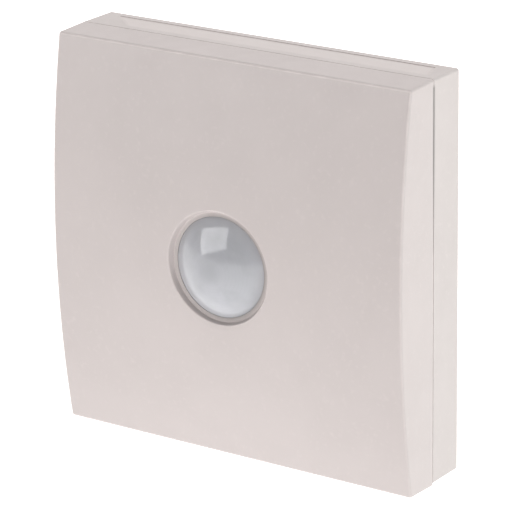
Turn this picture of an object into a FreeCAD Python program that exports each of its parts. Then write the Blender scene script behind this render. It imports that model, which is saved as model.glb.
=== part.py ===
import FreeCAD, Part
import math
import os

import Sketcher

# A square wall-mounted motion sensor, taken apart as it would be on a bench.
# Millimetres. X is to the right, Z is up, and Y runs into the wall: the wall is at Y = 0 and a
# "depth" is a distance forward from the wall, so depth 20 is Y = -20.

doc = FreeCAD.newDocument("motion_sensor")
sheet = doc.addObject("Spreadsheet::Sheet", "size")
sub_parts = []
sheet_names = []
board_holes = []


class Size:
    """A length that carries its number and the sheet formula that it comes from."""

    def __init__(self, number, formula):
        self.number = number
        self.formula = formula

    def joined(self, sign, other, number):
        return Size(number, "(%s %s %s)" % (self.formula, sign, other.formula))

    def __add__(self, other):
        other = as_size(other)
        return self.joined("+", other, self.number + other.number)

    def __sub__(self, other):
        other = as_size(other)
        return self.joined("-", other, self.number - other.number)

    def __mul__(self, other):
        other = as_size(other)
        return self.joined("*", other, self.number * other.number)

    def __truediv__(self, other):
        other = as_size(other)
        return self.joined("/", other, self.number / other.number)

    def __neg__(self):
        return Size(-self.number, "(0 - %s)" % self.formula)

    __radd__ = __add__
    __rmul__ = __mul__


def as_size(value):
    """A plain number as a Size."""
    if isinstance(value, Size):
        return value
    return Size(float(value), "(%.6f)" % value)


def cell(name, number):
    """One driving dimension: a row of the sheet with an alias."""
    sheet_names.append(name)
    row = len(sheet_names)
    sheet.set("A%d" % row, name)
    sheet.set("B%d" % row, str(number))
    sheet.setAlias("B%d" % row, name)
    return Size(float(number), "size.%s" % name)


def bind(thing, path, size):
    """Tie one property of an object to the sheet."""
    thing.setExpression(path, as_size(size).formula)


def place(thing, x, depth, z):
    """Put an object's own origin at a place, with its rotation kept."""
    bind(thing, "Placement.Base.x", x)
    bind(thing, "Placement.Base.y", -as_size(depth))
    bind(thing, "Placement.Base.z", z)


def keep(thing, name):
    """Name a finished sub-part; its label is the name of its file."""
    thing.Label = name
    sub_parts.append(thing)
    return thing


# ---------------------------------------------------------------- sketches and solids

def new_body(name):
    return keep(doc.addObject("PartDesign::Body", name), name)


def new_sketch(body, name, plane, offset=0):
    """A sketch on one of the body's own origin planes, moved along the plane's normal.

    XZ_Plane looks at the wall: its normal points forward, so its offset is a depth.
    """
    sketch = body.newObject("Sketcher::SketchObject", name)
    found = [item for item in body.Origin.OriginFeatures if item.Role == plane]
    sketch.AttachmentSupport = (found[0], [""])
    sketch.MapMode = "FlatFace"
    bind(sketch, "AttachmentOffset.Base.z", offset)
    return sketch


def hold(sketch, kind, geometry, point, size):
    """Hold a point's coordinate, counted from the sketch's origin, at a size."""
    if abs(size.number) < 1e-9:
        axis = -2 if kind == "DistanceX" else -1
        sketch.addConstraint(Sketcher.Constraint("PointOnObject", geometry, point, axis))
        return
    rule = Sketcher.Constraint(kind, -1, 1, geometry, point, size.number)
    bind(sketch, "Constraints[%d]" % sketch.addConstraint(rule), size)


def arc_shape(start, end, radius, turn):
    """A circular arc from start to end; turn is 1 anticlockwise and -1 clockwise."""
    chord = end - start
    half = chord.Length / 2
    side = FreeCAD.Vector(-chord.y, chord.x, 0).normalize()
    centre = start + chord * 0.5 + side * turn * math.sqrt(radius * radius - half * half)
    first, last = (start, end) if turn > 0 else (end, start)
    angles = [math.atan2(p.y - centre.y, p.x - centre.x) for p in (first, last)]
    if angles[1] < angles[0]:
        angles[1] += 2 * math.pi
    circle = Part.Circle(centre, FreeCAD.Vector(0, 0, 1), radius)
    return Part.ArcOfCircle(circle, angles[0], angles[1])


def outline(sketch, corners, arcs=None):
    """A closed outline through corners; arcs gives {side: (radius, turn)} for its round sides."""
    arcs = arcs or {}
    corners = [(as_size(x), as_size(y)) for x, y in corners]
    points = [FreeCAD.Vector(x.number, y.number, 0) for x, y in corners]
    ends = []
    for side, start in enumerate(points):
        end = points[(side + 1) % len(points)]
        if side in arcs:
            radius, turn = arcs[side]
            index = sketch.addGeometry(arc_shape(start, end, radius.number, turn))
            rule = Sketcher.Constraint("Radius", index, radius.number)
            bind(sketch, "Constraints[%d]" % sketch.addConstraint(rule), radius)
            ends.append((index, 1, 2) if turn > 0 else (index, 2, 1))
        else:
            ends.append((sketch.addGeometry(Part.LineSegment(start, end)), 1, 2))
    for side, (index, first, last) in enumerate(ends):
        following = ends[(side + 1) % len(ends)]
        rule = Sketcher.Constraint("Coincident", index, last, following[0], following[1])
        sketch.addConstraint(rule)
        hold(sketch, "DistanceX", index, first, corners[side][0])
        hold(sketch, "DistanceY", index, first, corners[side][1])


def rectangle(sketch, left, right, low, high):
    outline(sketch, [(left, low), (right, low), (right, high), (left, high)])


def circle(sketch, x, y, radius):
    x, y, radius = as_size(x), as_size(y), as_size(radius)
    shape = Part.Circle(FreeCAD.Vector(x.number, y.number, 0), FreeCAD.Vector(0, 0, 1), radius.number)
    index = sketch.addGeometry(shape)
    hold(sketch, "DistanceX", index, 3, x)
    hold(sketch, "DistanceY", index, 3, y)
    rule = Sketcher.Constraint("Radius", index, radius.number)
    bind(sketch, "Constraints[%d]" % sketch.addConstraint(rule), radius)


def pad(body, sketch, length, back=False):
    """Extrude a sketch along its normal, or against it when back is set."""
    made = body.newObject("PartDesign::Pad", "pad_" + sketch.Name)
    made.Profile = sketch
    made.Reversed = back
    bind(made, "Length", length)
    return made


def pocket(body, sketch, length, forward=False):
    """Cut a sketch against its normal, or along it when forward is set."""
    made = body.newObject("PartDesign::Pocket", "pocket_" + sketch.Name)
    made.Profile = sketch
    made.Reversed = forward
    bind(made, "Length", length)
    return made


def turned(body, sketch, kind):
    """A Revolution or a Groove about the sketch's own upright axis."""
    made = body.newObject("PartDesign::" + kind, kind.lower() + "_" + sketch.Name)
    made.Profile = sketch
    made.ReferenceAxis = (sketch, ["V_Axis"])
    made.Angle = 360
    return made


def round_edges(body, radius, chosen, kind="Fillet"):
    """Round the edges of the body's last feature for which chosen(edge) is true."""
    doc.recompute()
    base = body.Tip
    names = ["Edge%d" % (i + 1) for i, edge in enumerate(base.Shape.Edges) if chosen(edge)]
    made = body.newObject("PartDesign::" + kind, kind.lower())
    made.Base = (base, names)
    bind(made, "Radius" if kind == "Fillet" else "Size", radius)
    return made


def block(name, left, right, back, front, low, high):
    """A box between two sides, two depths and two heights."""
    made = doc.addObject("Part::Box", name)
    bind(made, "Length", right - left)
    bind(made, "Width", front - back)
    bind(made, "Height", high - low)
    place(made, left, front, low)
    return made


def rod(name, x, z, radius, back, front):
    """A round bar that stands forward from one depth to another."""
    made = doc.addObject("Part::Cylinder", name)
    made.Placement.Rotation = FreeCAD.Rotation(FreeCAD.Vector(1, 0, 0), 90)
    bind(made, "Radius", radius)
    bind(made, "Height", front - back)
    place(made, x, back, z)
    return made


def upright(name, x, depth, radius, low, high):
    """A round bar whose axis is vertical."""
    made = doc.addObject("Part::Cylinder", name)
    bind(made, "Radius", radius)
    bind(made, "Height", high - low)
    place(made, x, depth, low)
    return made


def dome(name, x, z, radius, depth):
    """A half ball that bulges forward from a depth."""
    made = doc.addObject("Part::Sphere", name)
    made.Angle1 = 0
    made.Angle2 = 90
    made.Placement.Rotation = FreeCAD.Rotation(FreeCAD.Vector(1, 0, 0), 90)
    bind(made, "Radius", radius)
    place(made, x, depth, z)
    return made


def fused(name, pieces):
    made = doc.addObject("Part::MultiFuse", name)
    made.Shapes = pieces
    return made


def cut(name, base, tools):
    made = doc.addObject("Part::Cut", name)
    made.Base = base
    made.Tool = tools[0] if len(tools) == 1 else fused(name + "_tools", tools)
    return made


def group(name, pieces):
    """Several separate solids that share one node."""
    made = doc.addObject("Part::Compound", name)
    made.Links = pieces
    return keep(made, name)


def softened(name, base, radius, chosen=None):
    """The same solid with its edges, or the chosen ones, rounded."""
    doc.recompute()
    made = doc.addObject("Part::Fillet", name)
    made.Base = base
    picked = [i + 1 for i, edge in enumerate(base.Shape.Edges) if chosen is None or chosen(edge)]
    made.Edges = [(number, radius.number, radius.number) for number in picked]
    return made


def leads(name, spots, radius, front):
    """Wire leads from the solder side of the board to a depth, with their holes in the board."""
    board_holes.extend((x, z, radius + hole_gap) for x, z in spots)
    tail = board_back - lead_tail
    return [rod("%s_%d" % (name, i), x, z, radius, tail, front) for i, (x, z) in enumerate(spots)]


def along(direction, edge):
    """Is an edge straight and parallel to a direction?"""
    first, last = edge.Vertexes[0].Point, edge.Vertexes[-1].Point
    run = last - first
    return run.Length > 1e-6 and abs(run.normalize().dot(FreeCAD.Vector(*direction))) > 0.999


# ---------------------------------------------------------------- driving dimensions

# the case
body_width = cell("body_width", 86)
body_height = cell("body_height", 86)
seam_depth = cell("seam_depth", 9.86)
seam_gap = cell("seam_gap", 0.2)
edge_depth = cell("edge_depth", 18.25)
side_bow = cell("side_bow", 3.75)
middle_bow = cell("middle_bow", 5.45)
cover_draft = cell("cover_draft", 0.3)
bottom_step = cell("bottom_step", 0.5)
cover_wall = cell("cover_wall", 2)
back_plate = cell("back_plate", 2)
lap_clearance = cell("lap_clearance", 0.2)
tongue_wall = cell("tongue_wall", 1)
tongue_height = cell("tongue_height", 2.6)
edge_round = cell("edge_round", 0.6)
boss_overlap = cell("boss_overlap", 1.4)
bead_height = cell("bead_height", 0.12)
bead_length = cell("bead_length", 9)
bead_spacing = cell("bead_spacing", 44)
relief_depth = cell("relief_depth", 0.12)
relief_back = cell("relief_back", 2.2)
relief_front = cell("relief_front", 7.6)
relief_left = cell("relief_left", 4)
relief_slant = cell("relief_slant", 6)
relief_right = cell("relief_right", 4.3)
relief_flare = cell("relief_flare", 1.7)
pry_width = cell("pry_width", 8)
pry_height = cell("pry_height", 1.2)

# the wall
screw_spacing = cell("screw_spacing", 60.3)
slot_length = cell("slot_length", 8)
slot_width = cell("slot_width", 4.2)
window_width = cell("window_width", 24)
window_height = cell("window_height", 10)
window_sill = cell("window_sill", 4.5)
window_round = cell("window_round", 1.5)

# the lens and its seat
lens_radius = cell("lens_radius", 10.6)
lens_rise = cell("lens_rise", 3.9)
lens_wall = cell("lens_wall", 0.7)
lens_clearance = cell("lens_clearance", 0.15)
recess_depth = cell("recess_depth", 1.3)
ledge_width = cell("ledge_width", 0.95)
recess_slope = cell("recess_slope", 0.7)
rim_round = cell("rim_round", 0.25)
rim_search = 0.2
flange_width = cell("flange_width", 2.4)
flange_wall = cell("flange_wall", 0.8)
seat_rise = cell("seat_rise", 0.25)
ring_wall = cell("ring_wall", 1.6)
ring_width = cell("ring_width", 2.9)
ring_clearance = cell("ring_clearance", 0.1)
stake_radius = cell("stake_radius", 0.8)
stake_clearance = cell("stake_clearance", 0.05)
stake_head = cell("stake_head", 1.3)
stake_cap = cell("stake_cap", 0.6)

# the circuit board
board_width = cell("board_width", 48)
board_gap = cell("board_gap", 2.8)
wiring_room = cell("wiring_room", 16.8)
board_wall = cell("board_wall", 1.6)
board_corner = cell("board_corner", 1.5)
standoff_height = cell("standoff_height", 4)
standoff_radius = cell("standoff_radius", 3)
standoff_inset = cell("standoff_inset", 3.5)
screw_radius = cell("screw_radius", 1.1)
screw_clearance = cell("screw_clearance", 0.1)
screw_head = cell("screw_head", 2.1)
screw_head_height = cell("screw_head_height", 1.4)
screw_head_round = cell("screw_head_round", 0.7)
cross_reach = cell("cross_reach", 1.15)
cross_width = cell("cross_width", 0.5)
hole_gap = cell("hole_gap", 0.1)
lead_tail = cell("lead_tail", 1.2)
pin_radius = cell("pin_radius", 0.4)
moulded_round = cell("moulded_round", 0.5)


def depth_at(x, z):
    """How deep the cover's outer face is, near enough, over one place of its plan."""
    across = as_size(x) * x / (half_width * half_width)
    up = as_size(z) * z / (half_height * half_height)
    bow = middle_bow - (middle_bow - side_bow) * across
    return edge_depth + bow - bow * up


# depths and edges that several pieces share
rim_depth = seam_depth - seam_gap / 2
skirt_depth = seam_depth + seam_gap / 2
face_depth = edge_depth + middle_bow
ledge_depth = face_depth - recess_depth
board_back = back_plate + standoff_height
board_front = board_back + board_wall
tongue_inset = cover_wall / 2 + lap_clearance
case_wall = tongue_inset + tongue_wall
half_width = body_width / 2
half_height = body_height / 2
ring_outer = lens_radius + lens_clearance + flange_width + ring_width
seat_depth = cover_wall + face_depth - depth_at(0, ring_outer) + seat_rise
boss_depth = face_depth - seat_depth
board_left = -board_width / 2
board_right = board_width / 2
board_low = -half_height + case_wall + wiring_room
board_high = half_height - case_wall - board_gap
standoffs = [
    (x, z)
    for x in (board_left + standoff_inset, board_right - standoff_inset)
    for z in (board_low + standoff_inset, board_high - standoff_inset)
]


# ---------------------------------------------------------------- rear housing

def rear_housing():
    """The tray that screws to the wall: plate, walls, lap tongue, standoffs and screw slots."""
    body = new_body("rear_housing")
    base = new_sketch(body, "housing_outline", "XZ_Plane")
    rectangle(base, -half_width, half_width, -half_height + bottom_step, half_height)
    pad(body, base, rim_depth)
    round_edges(body, edge_round, lambda edge: along((0, 1, 0), edge) or edge.BoundBox.YMin > -0.01)

    well = new_sketch(body, "housing_well", "XZ_Plane", rim_depth)
    inner = half_width - case_wall
    inner_z = half_height - case_wall
    rectangle(well, -inner, inner, -inner_z, inner_z)
    pocket(body, well, rim_depth - back_plate)

    tongue = new_sketch(body, "lap_tongue", "XZ_Plane", rim_depth)
    outer = half_width - tongue_inset
    outer_z = half_height - tongue_inset
    rectangle(tongue, -outer, outer, -outer_z, outer_z)
    rectangle(tongue, -inner, inner, -inner_z, inner_z)
    pad(body, tongue, tongue_height)

    beads = new_sketch(body, "snap_beads", "XZ_Plane", rim_depth + tongue_height / 2)
    for side in (-1, 1):
        for end in (-1, 1):
            middle = bead_spacing / 2 * end
            edges = sorted((side * outer, side * (outer + bead_height)), key=lambda s: s.number)
            rectangle(beads, edges[0], edges[1], middle - bead_length / 2, middle + bead_length / 2)
    pad(body, beads, tongue_height / 3)

    posts = new_sketch(body, "standoffs", "XZ_Plane", back_plate)
    for x, z in standoffs:
        circle(posts, x, z, standoff_radius)
        circle(posts, x, z, screw_radius + screw_clearance)
    pad(body, posts, standoff_height)

    ends = new_sketch(body, "slot_ends", "XZ_Plane", back_plate)
    middles = new_sketch(body, "slot_middles", "XZ_Plane", back_plate)
    reach = (slot_length - slot_width) / 2
    for side in (-1, 1):
        centre = side * screw_spacing / 2
        circle(ends, centre - reach, 0, slot_width / 2)
        circle(ends, centre + reach, 0, slot_width / 2)
        rectangle(middles, centre - reach, centre + reach, -slot_width / 2, slot_width / 2)
    pocket(body, ends, back_plate)
    pocket(body, middles, back_plate)

    window = new_sketch(body, "cable_window", "XZ_Plane", back_plate)
    low = -half_height + window_sill
    rectangle(window, -window_width / 2, window_width / 2, low, low + window_height)
    pocket(body, window, back_plate)
    round_edges(
        body,
        window_round,
        lambda edge: along((0, 1, 0), edge)
        and edge.BoundBox.YMin > -back_plate.number - 0.01
        and abs(abs(edge.BoundBox.XMin) - window_width.number / 2) < 0.01,
    )

    relief = new_sketch(body, "knock_out", "XY_Plane", half_height)
    outline(
        relief,
        [
            (-half_width + relief_left, -relief_back),
            (-half_width + relief_left + relief_slant, -relief_front),
            (half_width - relief_right + relief_flare, -relief_front),
            (half_width - relief_right, -relief_back),
        ],
    )
    pocket(body, relief, relief_depth)

    pry = new_sketch(body, "pry_notch", "XZ_Plane", rim_depth)
    foot = -half_height + bottom_step
    rectangle(pry, -pry_width / 2, pry_width / 2, foot - 1, foot + tongue_inset - bottom_step)
    pocket(body, pry, pry_height)


# ---------------------------------------------------------------- front cover

def side_profile(body, name, x, back, height, edge, bow, draft):
    """One upright section of the cover: flat behind, bowed in front."""
    sketch = new_sketch(body, name, "YZ_Plane", x)
    front = height - draft
    radius = (front * front + bow * bow) / (2 * bow)
    corners = [(-back, -height), (-edge, -front), (-edge, front), (-back, height)]
    outline(sketch, corners, {1: (radius, -1)})
    return sketch


def loft(body, name, kind, sections):
    made = body.newObject("PartDesign::" + kind, name)
    made.Profile = sections[0]
    made.Sections = sections[1:]
    return made


def front_cover():
    """The moulded shell: a face bowed both ways, its skirt, and the seat for the lens."""
    body = new_body("front_cover")
    half = half_width
    bows = ((half, side_bow), (as_size(0), middle_bow), (-half, side_bow))
    outer = [
        side_profile(body, "outer_%d" % i, x, skirt_depth, half_height, edge_depth, bow, cover_draft)
        for i, (x, bow) in enumerate(bows)
    ]
    loft(body, "shell", "AdditiveLoft", outer)
    front_edge = edge_depth.number - 0.01

    def outer_edge(edge):
        box = edge.BoundBox
        is_front = -box.YMax > front_edge
        return is_front or (-box.YMin > front_edge and box.YLength > 1)

    round_edges(body, edge_round, outer_edge)

    inner_half = half_width - cover_wall
    inner_bows = ((inner_half, side_bow), (as_size(0), middle_bow), (-inner_half, side_bow))
    inner = [
        side_profile(
            body,
            "inner_%d" % i,
            x,
            skirt_depth,
            half_height - cover_wall,
            edge_depth - cover_wall,
            bow,
            cover_draft,
        )
        for i, (x, bow) in enumerate(inner_bows)
    ]
    loft(body, "hollow", "SubtractiveLoft", inner)

    lap = new_sketch(body, "lap_rebate", "XZ_Plane", skirt_depth)
    lip = cover_wall / 2
    rectangle(lap, -half_width + lip, half_width - lip, -half_height + lip, half_height - lip)
    pocket(body, lap, tongue_height + lap_clearance, forward=True)

    boss = new_sketch(body, "lens_boss", "XZ_Plane", boss_depth)
    circle(boss, 0, 0, ring_outer)
    pad(body, boss, seat_depth - boss_overlap)

    opening = new_sketch(body, "lens_opening", "XY_Plane")
    hole = lens_radius + lens_clearance
    ledge = hole + ledge_width
    beyond = recess_depth * 3
    outline(
        opening,
        [
            (0, -boss_depth + seat_depth),
            (hole, -boss_depth + seat_depth),
            (hole, -ledge_depth),
            (ledge, -ledge_depth),
            (ledge + recess_slope / recess_depth * beyond, -ledge_depth - beyond),
            (0, -ledge_depth - beyond),
        ],
    )
    turned(body, opening, "Groove")

    def rim(edge):
        middle = edge.valueAt((edge.FirstParameter + edge.LastParameter) / 2)
        reach = math.hypot(middle.x, middle.z)
        is_near = ledge.number + rim_search < reach < ledge.number + 2 * recess_slope.number
        return is_near and edge.Length > reach

    round_edges(body, rim_round, rim)

    stakes = new_sketch(body, "stakes", "XZ_Plane", boss_depth)
    caps = new_sketch(body, "stake_caps", "XZ_Plane", boss_depth - ring_wall)
    for x, z in stake_spots():
        circle(stakes, x, z, stake_radius)
        circle(caps, x, z, stake_head)
    pad(body, stakes, ring_wall, back=True)
    pad(body, caps, stake_cap, back=True)

    rib = new_sketch(body, "tamper_rib", "XZ_Plane", plunger_tip)
    circle(rib, tamper_x, tamper_z, rib_radius)
    pad(body, rib, depth_at(tamper_x, tamper_z) - cover_wall / 2 - plunger_tip)


def stake_spots():
    """Three melted stakes, evenly spaced in the lens ring's outer band."""
    reach = ring_outer - ring_width / 2
    turns = [math.radians(angle) for angle in (90, 210, 330)]
    return [(reach * math.cos(turn), reach * math.sin(turn)) for turn in turns]


# ---------------------------------------------------------------- lens and its ring

def fresnel_lens():
    """A thin milky dome with a short skirt and a flange that seats behind the cover's face."""
    body = new_body("fresnel_lens")
    sketch = new_sketch(body, "lens_profile", "XY_Plane")
    apex = ledge_depth + lens_rise
    inner = lens_radius - lens_wall
    inner_rise = lens_rise - lens_wall
    flange = lens_radius + flange_width
    outer_radius = (lens_radius * lens_radius + lens_rise * lens_rise) / (2 * lens_rise)
    inner_radius = (inner * inner + inner_rise * inner_rise) / (2 * inner_rise)
    outline(
        sketch,
        [
            (0, -apex),
            (lens_radius, -ledge_depth),
            (lens_radius, -boss_depth),
            (flange, -boss_depth),
            (flange, -boss_depth + flange_wall),
            (inner, -boss_depth + flange_wall),
            (inner, -ledge_depth),
            (0, -apex + lens_wall),
        ],
        {0: (outer_radius, 1), 6: (inner_radius, -1)},
    )
    turned(body, sketch, "Revolution")


def lens_retainer():
    """The ring that is staked behind the lens flange."""
    body = new_body("lens_retainer")
    sketch = new_sketch(body, "ring_profile", "XY_Plane")
    inner = lens_radius - lens_wall
    rebate = lens_radius + flange_width + ring_clearance
    rear = -boss_depth + ring_wall
    step = -boss_depth + flange_wall
    corners = [(inner, rear), (inner, step), (rebate, step), (rebate, -boss_depth)]
    outline(sketch, corners + [(ring_outer, -boss_depth), (ring_outer, rear)])
    turned(body, sketch, "Revolution")
    holes = new_sketch(body, "stake_holes", "XZ_Plane", boss_depth)
    for x, z in stake_spots():
        circle(holes, x, z, stake_radius + stake_clearance)
    pocket(body, holes, ring_wall)


# ---------------------------------------------------------------- the pyroelectric sensor

spacer_radius = cell("spacer_radius", 4.9)
spacer_bore = cell("spacer_bore", 3.4)
spacer_wall = cell("spacer_wall", 1)
header_radius = cell("header_radius", 4.6)
header_wall = cell("header_wall", 0.9)
can_radius = cell("can_radius", 4.1)
can_height = cell("can_height", 3.4)
can_wall = cell("can_wall", 0.25)
filter_width = cell("filter_width", 5)
filter_height = cell("filter_height", 4)
filter_wall = cell("filter_wall", 0.5)
chip_width = cell("chip_width", 2)
chip_height = cell("chip_height", 1)
chip_spacing = cell("chip_spacing", 2.4)
chip_post = cell("chip_post", 1.6)
chip_wall = cell("chip_wall", 0.3)
lead_circle = cell("lead_circle", 2.54)
lead_turns = (45, 135, 270)
can_lead = cell("can_lead", 0.22)


def pyro_sensor():
    """A round metal can on a header, with an infrared filter in its window."""
    zero = as_size(0)
    seat = board_front + spacer_wall
    cap = seat + header_wall
    top = cap + can_height
    ring = rod("spacer_disc", zero, zero, spacer_radius, board_front, seat)
    bore = rod("spacer_hole", zero, zero, spacer_bore, board_front, seat)
    keep(cut("spacer", ring, [bore]), "pyro_spacer")
    keep(rod("header", zero, zero, header_radius, seat, cap), "pyro_header")

    shell = rod("can_outside", zero, zero, can_radius, cap, top)
    hollow = rod("can_inside", zero, zero, can_radius - can_wall, cap, top - can_wall)
    half_w = filter_width / 2
    half_h = filter_height / 2
    mouth = block("can_window", -half_w, half_w, top - can_wall * 2, top + can_wall, -half_h, half_h)
    can = cut("can", shell, [hollow, mouth])
    keep(can, "pyro_can")
    pane_w = half_w + can_wall
    pane_h = half_h + can_wall
    glued = top - can_wall
    pane = block("pane", -pane_w, pane_w, glued - filter_wall, glued, -pane_h, pane_h)
    keep(pane, "pyro_window")

    elements = []
    post = cap + chip_post
    half_chip = chip_width / 2
    for side in (-1, 1):
        near = side * chip_spacing / 2 - chip_height / 2
        name = "sensing_chip_%d" % (side + 1)
        far = near + chip_height
        elements.append(block(name, near, far, cap, post + chip_wall, -half_chip, half_chip))
    group("pyro_elements", elements)
    turns = [math.radians(angle) for angle in lead_turns]
    spots = [(lead_circle * math.cos(turn), lead_circle * math.sin(turn)) for turn in turns]
    group("pyro_leads", leads("pyro_lead", spots, can_lead, seat))


# ---------------------------------------------------------------- indicator

led_drop = cell("led_drop", 7.2)
led_radius = cell("led_radius", 1.5)
led_flange = cell("led_flange", 1.8)
led_flange_wall = cell("led_flange_wall", 0.9)
led_height = cell("led_height", 2.8)
led_pitch = cell("led_pitch", 2.54)
led_lead = cell("led_lead", 0.25)


def walk_test_lamp():
    """A three millimetre lamp under the sensor can, seen as a glow in the lens."""
    zero = as_size(0)
    low = -led_drop
    flange_top = board_front + led_flange_wall
    shoulder = flange_top + led_height
    pieces = [
        rod("lamp_flange", zero, low, led_flange, board_front, flange_top),
        rod("lamp_barrel", zero, low, led_radius, board_front, shoulder),
        dome("lamp_dome", zero, low, led_radius, shoulder),
    ]
    keep(fused("lamp", pieces), "walk_test_led")
    spots = [(-led_pitch / 2, low), (led_pitch / 2, low)]
    group("led_leads", leads("led_lead", spots, led_lead, board_front))


# ---------------------------------------------------------------- trimmers

trimmer_width = cell("trimmer_width", 9.5)
trimmer_height = cell("trimmer_height", 4.8)
trimmer_x = cell("trimmer_x", 13)
trimmer_drop = cell("trimmer_drop", 5.8)
rotor_radius = cell("rotor_radius", 3)
rotor_clearance = cell("rotor_clearance", 0.08)
rotor_sink = cell("rotor_sink", 2.2)
rotor_rise = cell("rotor_rise", 1.6)
rotor_slot = cell("rotor_slot", 0.9)
rotor_slot_depth = cell("rotor_slot_depth", 1.1)
rotor_arrow = cell("rotor_arrow", 1.1)
arrow_start = cell("arrow_start", 1.35)
trimmer_pitch = cell("trimmer_pitch", 2.54)


def trimmer(name, x):
    """A preset resistor: a square body and the rotor that a screwdriver turns."""
    z = -trimmer_drop
    half = trimmer_width / 2
    top = board_front + trimmer_height
    floor = top - rotor_sink
    square = block(name + "_square", x - half, x + half, board_front, top, z - half, z + half)
    square = softened(name + "_soft", square, moulded_round, lambda edge: along((0, 1, 0), edge))
    well = rod(name + "_well", x, z, rotor_radius + rotor_clearance, floor, top)
    keep(cut(name + "_housing", square, [well]), name + "_trimmer_body")

    head = top + rotor_rise
    drum = rod(name + "_drum", x, z, rotor_radius, floor + rotor_clearance, head)
    reach = rotor_radius + rotor_clearance
    sink = head - rotor_slot_depth
    step = head - rotor_slot_depth / 2
    half_slot = rotor_slot / 2
    slot = block(name + "_slot", x - half_slot, x + half_slot, sink, head, z - reach, z + reach)
    left = x - rotor_arrow
    right = x + rotor_arrow
    pointer = block(name + "_pointer", left, right, step, head, z + arrow_start, z + reach)
    keep(cut(name + "_rotor", drum, [slot, pointer]), name + "_trimmer_rotor")
    low = z - trimmer_pitch
    return [(x - trimmer_pitch, low), (x, z + trimmer_pitch), (x + trimmer_pitch, low)]


def trimmers():
    spots = trimmer("range", -trimmer_x) + trimmer("time", trimmer_x)
    group("trimmer_pins", leads("trimmer_pin", spots, pin_radius, board_front))


# ---------------------------------------------------------------- mode switch

switch_count = 3
switch_pitch = cell("switch_pitch", 2.54)
switch_margin = cell("switch_margin", 0.7)
switch_height = cell("switch_height", 9.6)
switch_body = cell("switch_body", 4.6)
switch_x = cell("switch_x", 13)
switch_z = cell("switch_z", 8.6)
track_width = cell("track_width", 1.4)
track_length = cell("track_length", 4.4)
track_sink = cell("track_sink", 2)
slider_length = cell("slider_length", 2.6)
slider_clearance = cell("slider_clearance", 0.08)
slider_rise = cell("slider_rise", 0.7)
slider_notch = cell("slider_notch", 0.73)
switch_row = cell("switch_row", 7.62)


def mode_switch():
    """A three-way miniature switch: one housing and a slider in each track."""
    top = board_front + switch_body
    floor = top - track_sink
    half = switch_pitch * switch_count / 2 + switch_margin
    left = -switch_x - half
    right = -switch_x + half
    shell_low = switch_z - switch_height / 2
    shell = block("switch_shell", left, right, board_front, top, shell_low, shell_low + switch_height)
    shell = softened("switch_soft", shell, moulded_round, lambda edge: along((0, 1, 0), edge))
    tracks = []
    spots = []
    track_low = switch_z - track_length / 2
    track_high = switch_z + track_length / 2
    half_track = track_width / 2
    half_slider = half_track - slider_clearance
    back = floor + slider_clearance
    front = top + slider_rise
    for i in range(switch_count):
        x = -switch_x + switch_pitch * (i - (switch_count - 1) / 2)
        left, right = x - half_track, x + half_track
        tracks.append(block("track_%d" % i, left, right, floor, top, track_low, track_high))
        # the middle slider rests at the top of its track, the others at the bottom
        if i == 1:
            foot = track_high - slider_clearance - slider_length
        else:
            foot = track_low + slider_clearance
        left, right = x - half_slider, x + half_slider
        slider = block("slider_%d" % i, left, right, back, front, foot, foot + slider_length)
        low = foot + (slider_length - slider_notch) / 2
        high = low + slider_notch
        notch = block("slider_notch_%d" % i, left, right, front - slider_rise, front, low, high)
        keep(cut("slider_cut_%d" % i, slider, [notch]), "mode_slider_%d" % (i + 1))
        spots += [(x, switch_z - switch_row / 2), (x, switch_z + switch_row / 2)]
    keep(cut("switch_cut", shell, tracks), "mode_switch_body")
    group("mode_switch_pins", leads("switch_pin", spots, pin_radius / 2, board_front))


# ---------------------------------------------------------------- tamper switch

tamper_x = cell("tamper_x", 17)
tamper_drop = cell("tamper_drop", 12)
tamper_size = cell("tamper_size", 6)
tamper_height = cell("tamper_height", 5)
tamper_wall = cell("tamper_wall", 0.7)
plunger_radius = cell("plunger_radius", 1.5)
plunger_clearance = cell("plunger_clearance", 0.08)
plunger_rise = cell("plunger_rise", 1.2)
plunger_collar = cell("plunger_collar", 2.1)
collar_wall = cell("collar_wall", 0.6)
plunger_travel = cell("plunger_travel", 1.2)
spring_radius = cell("spring_radius", 1.1)
spring_wire = cell("spring_wire", 0.2)
spring_turns = cell("spring_turns", 3)
rib_radius = cell("rib_radius", 1.6)
tamper_z = board_high - tamper_drop
tamper_top = board_front + tamper_height
plunger_tip = tamper_top + plunger_rise


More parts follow.
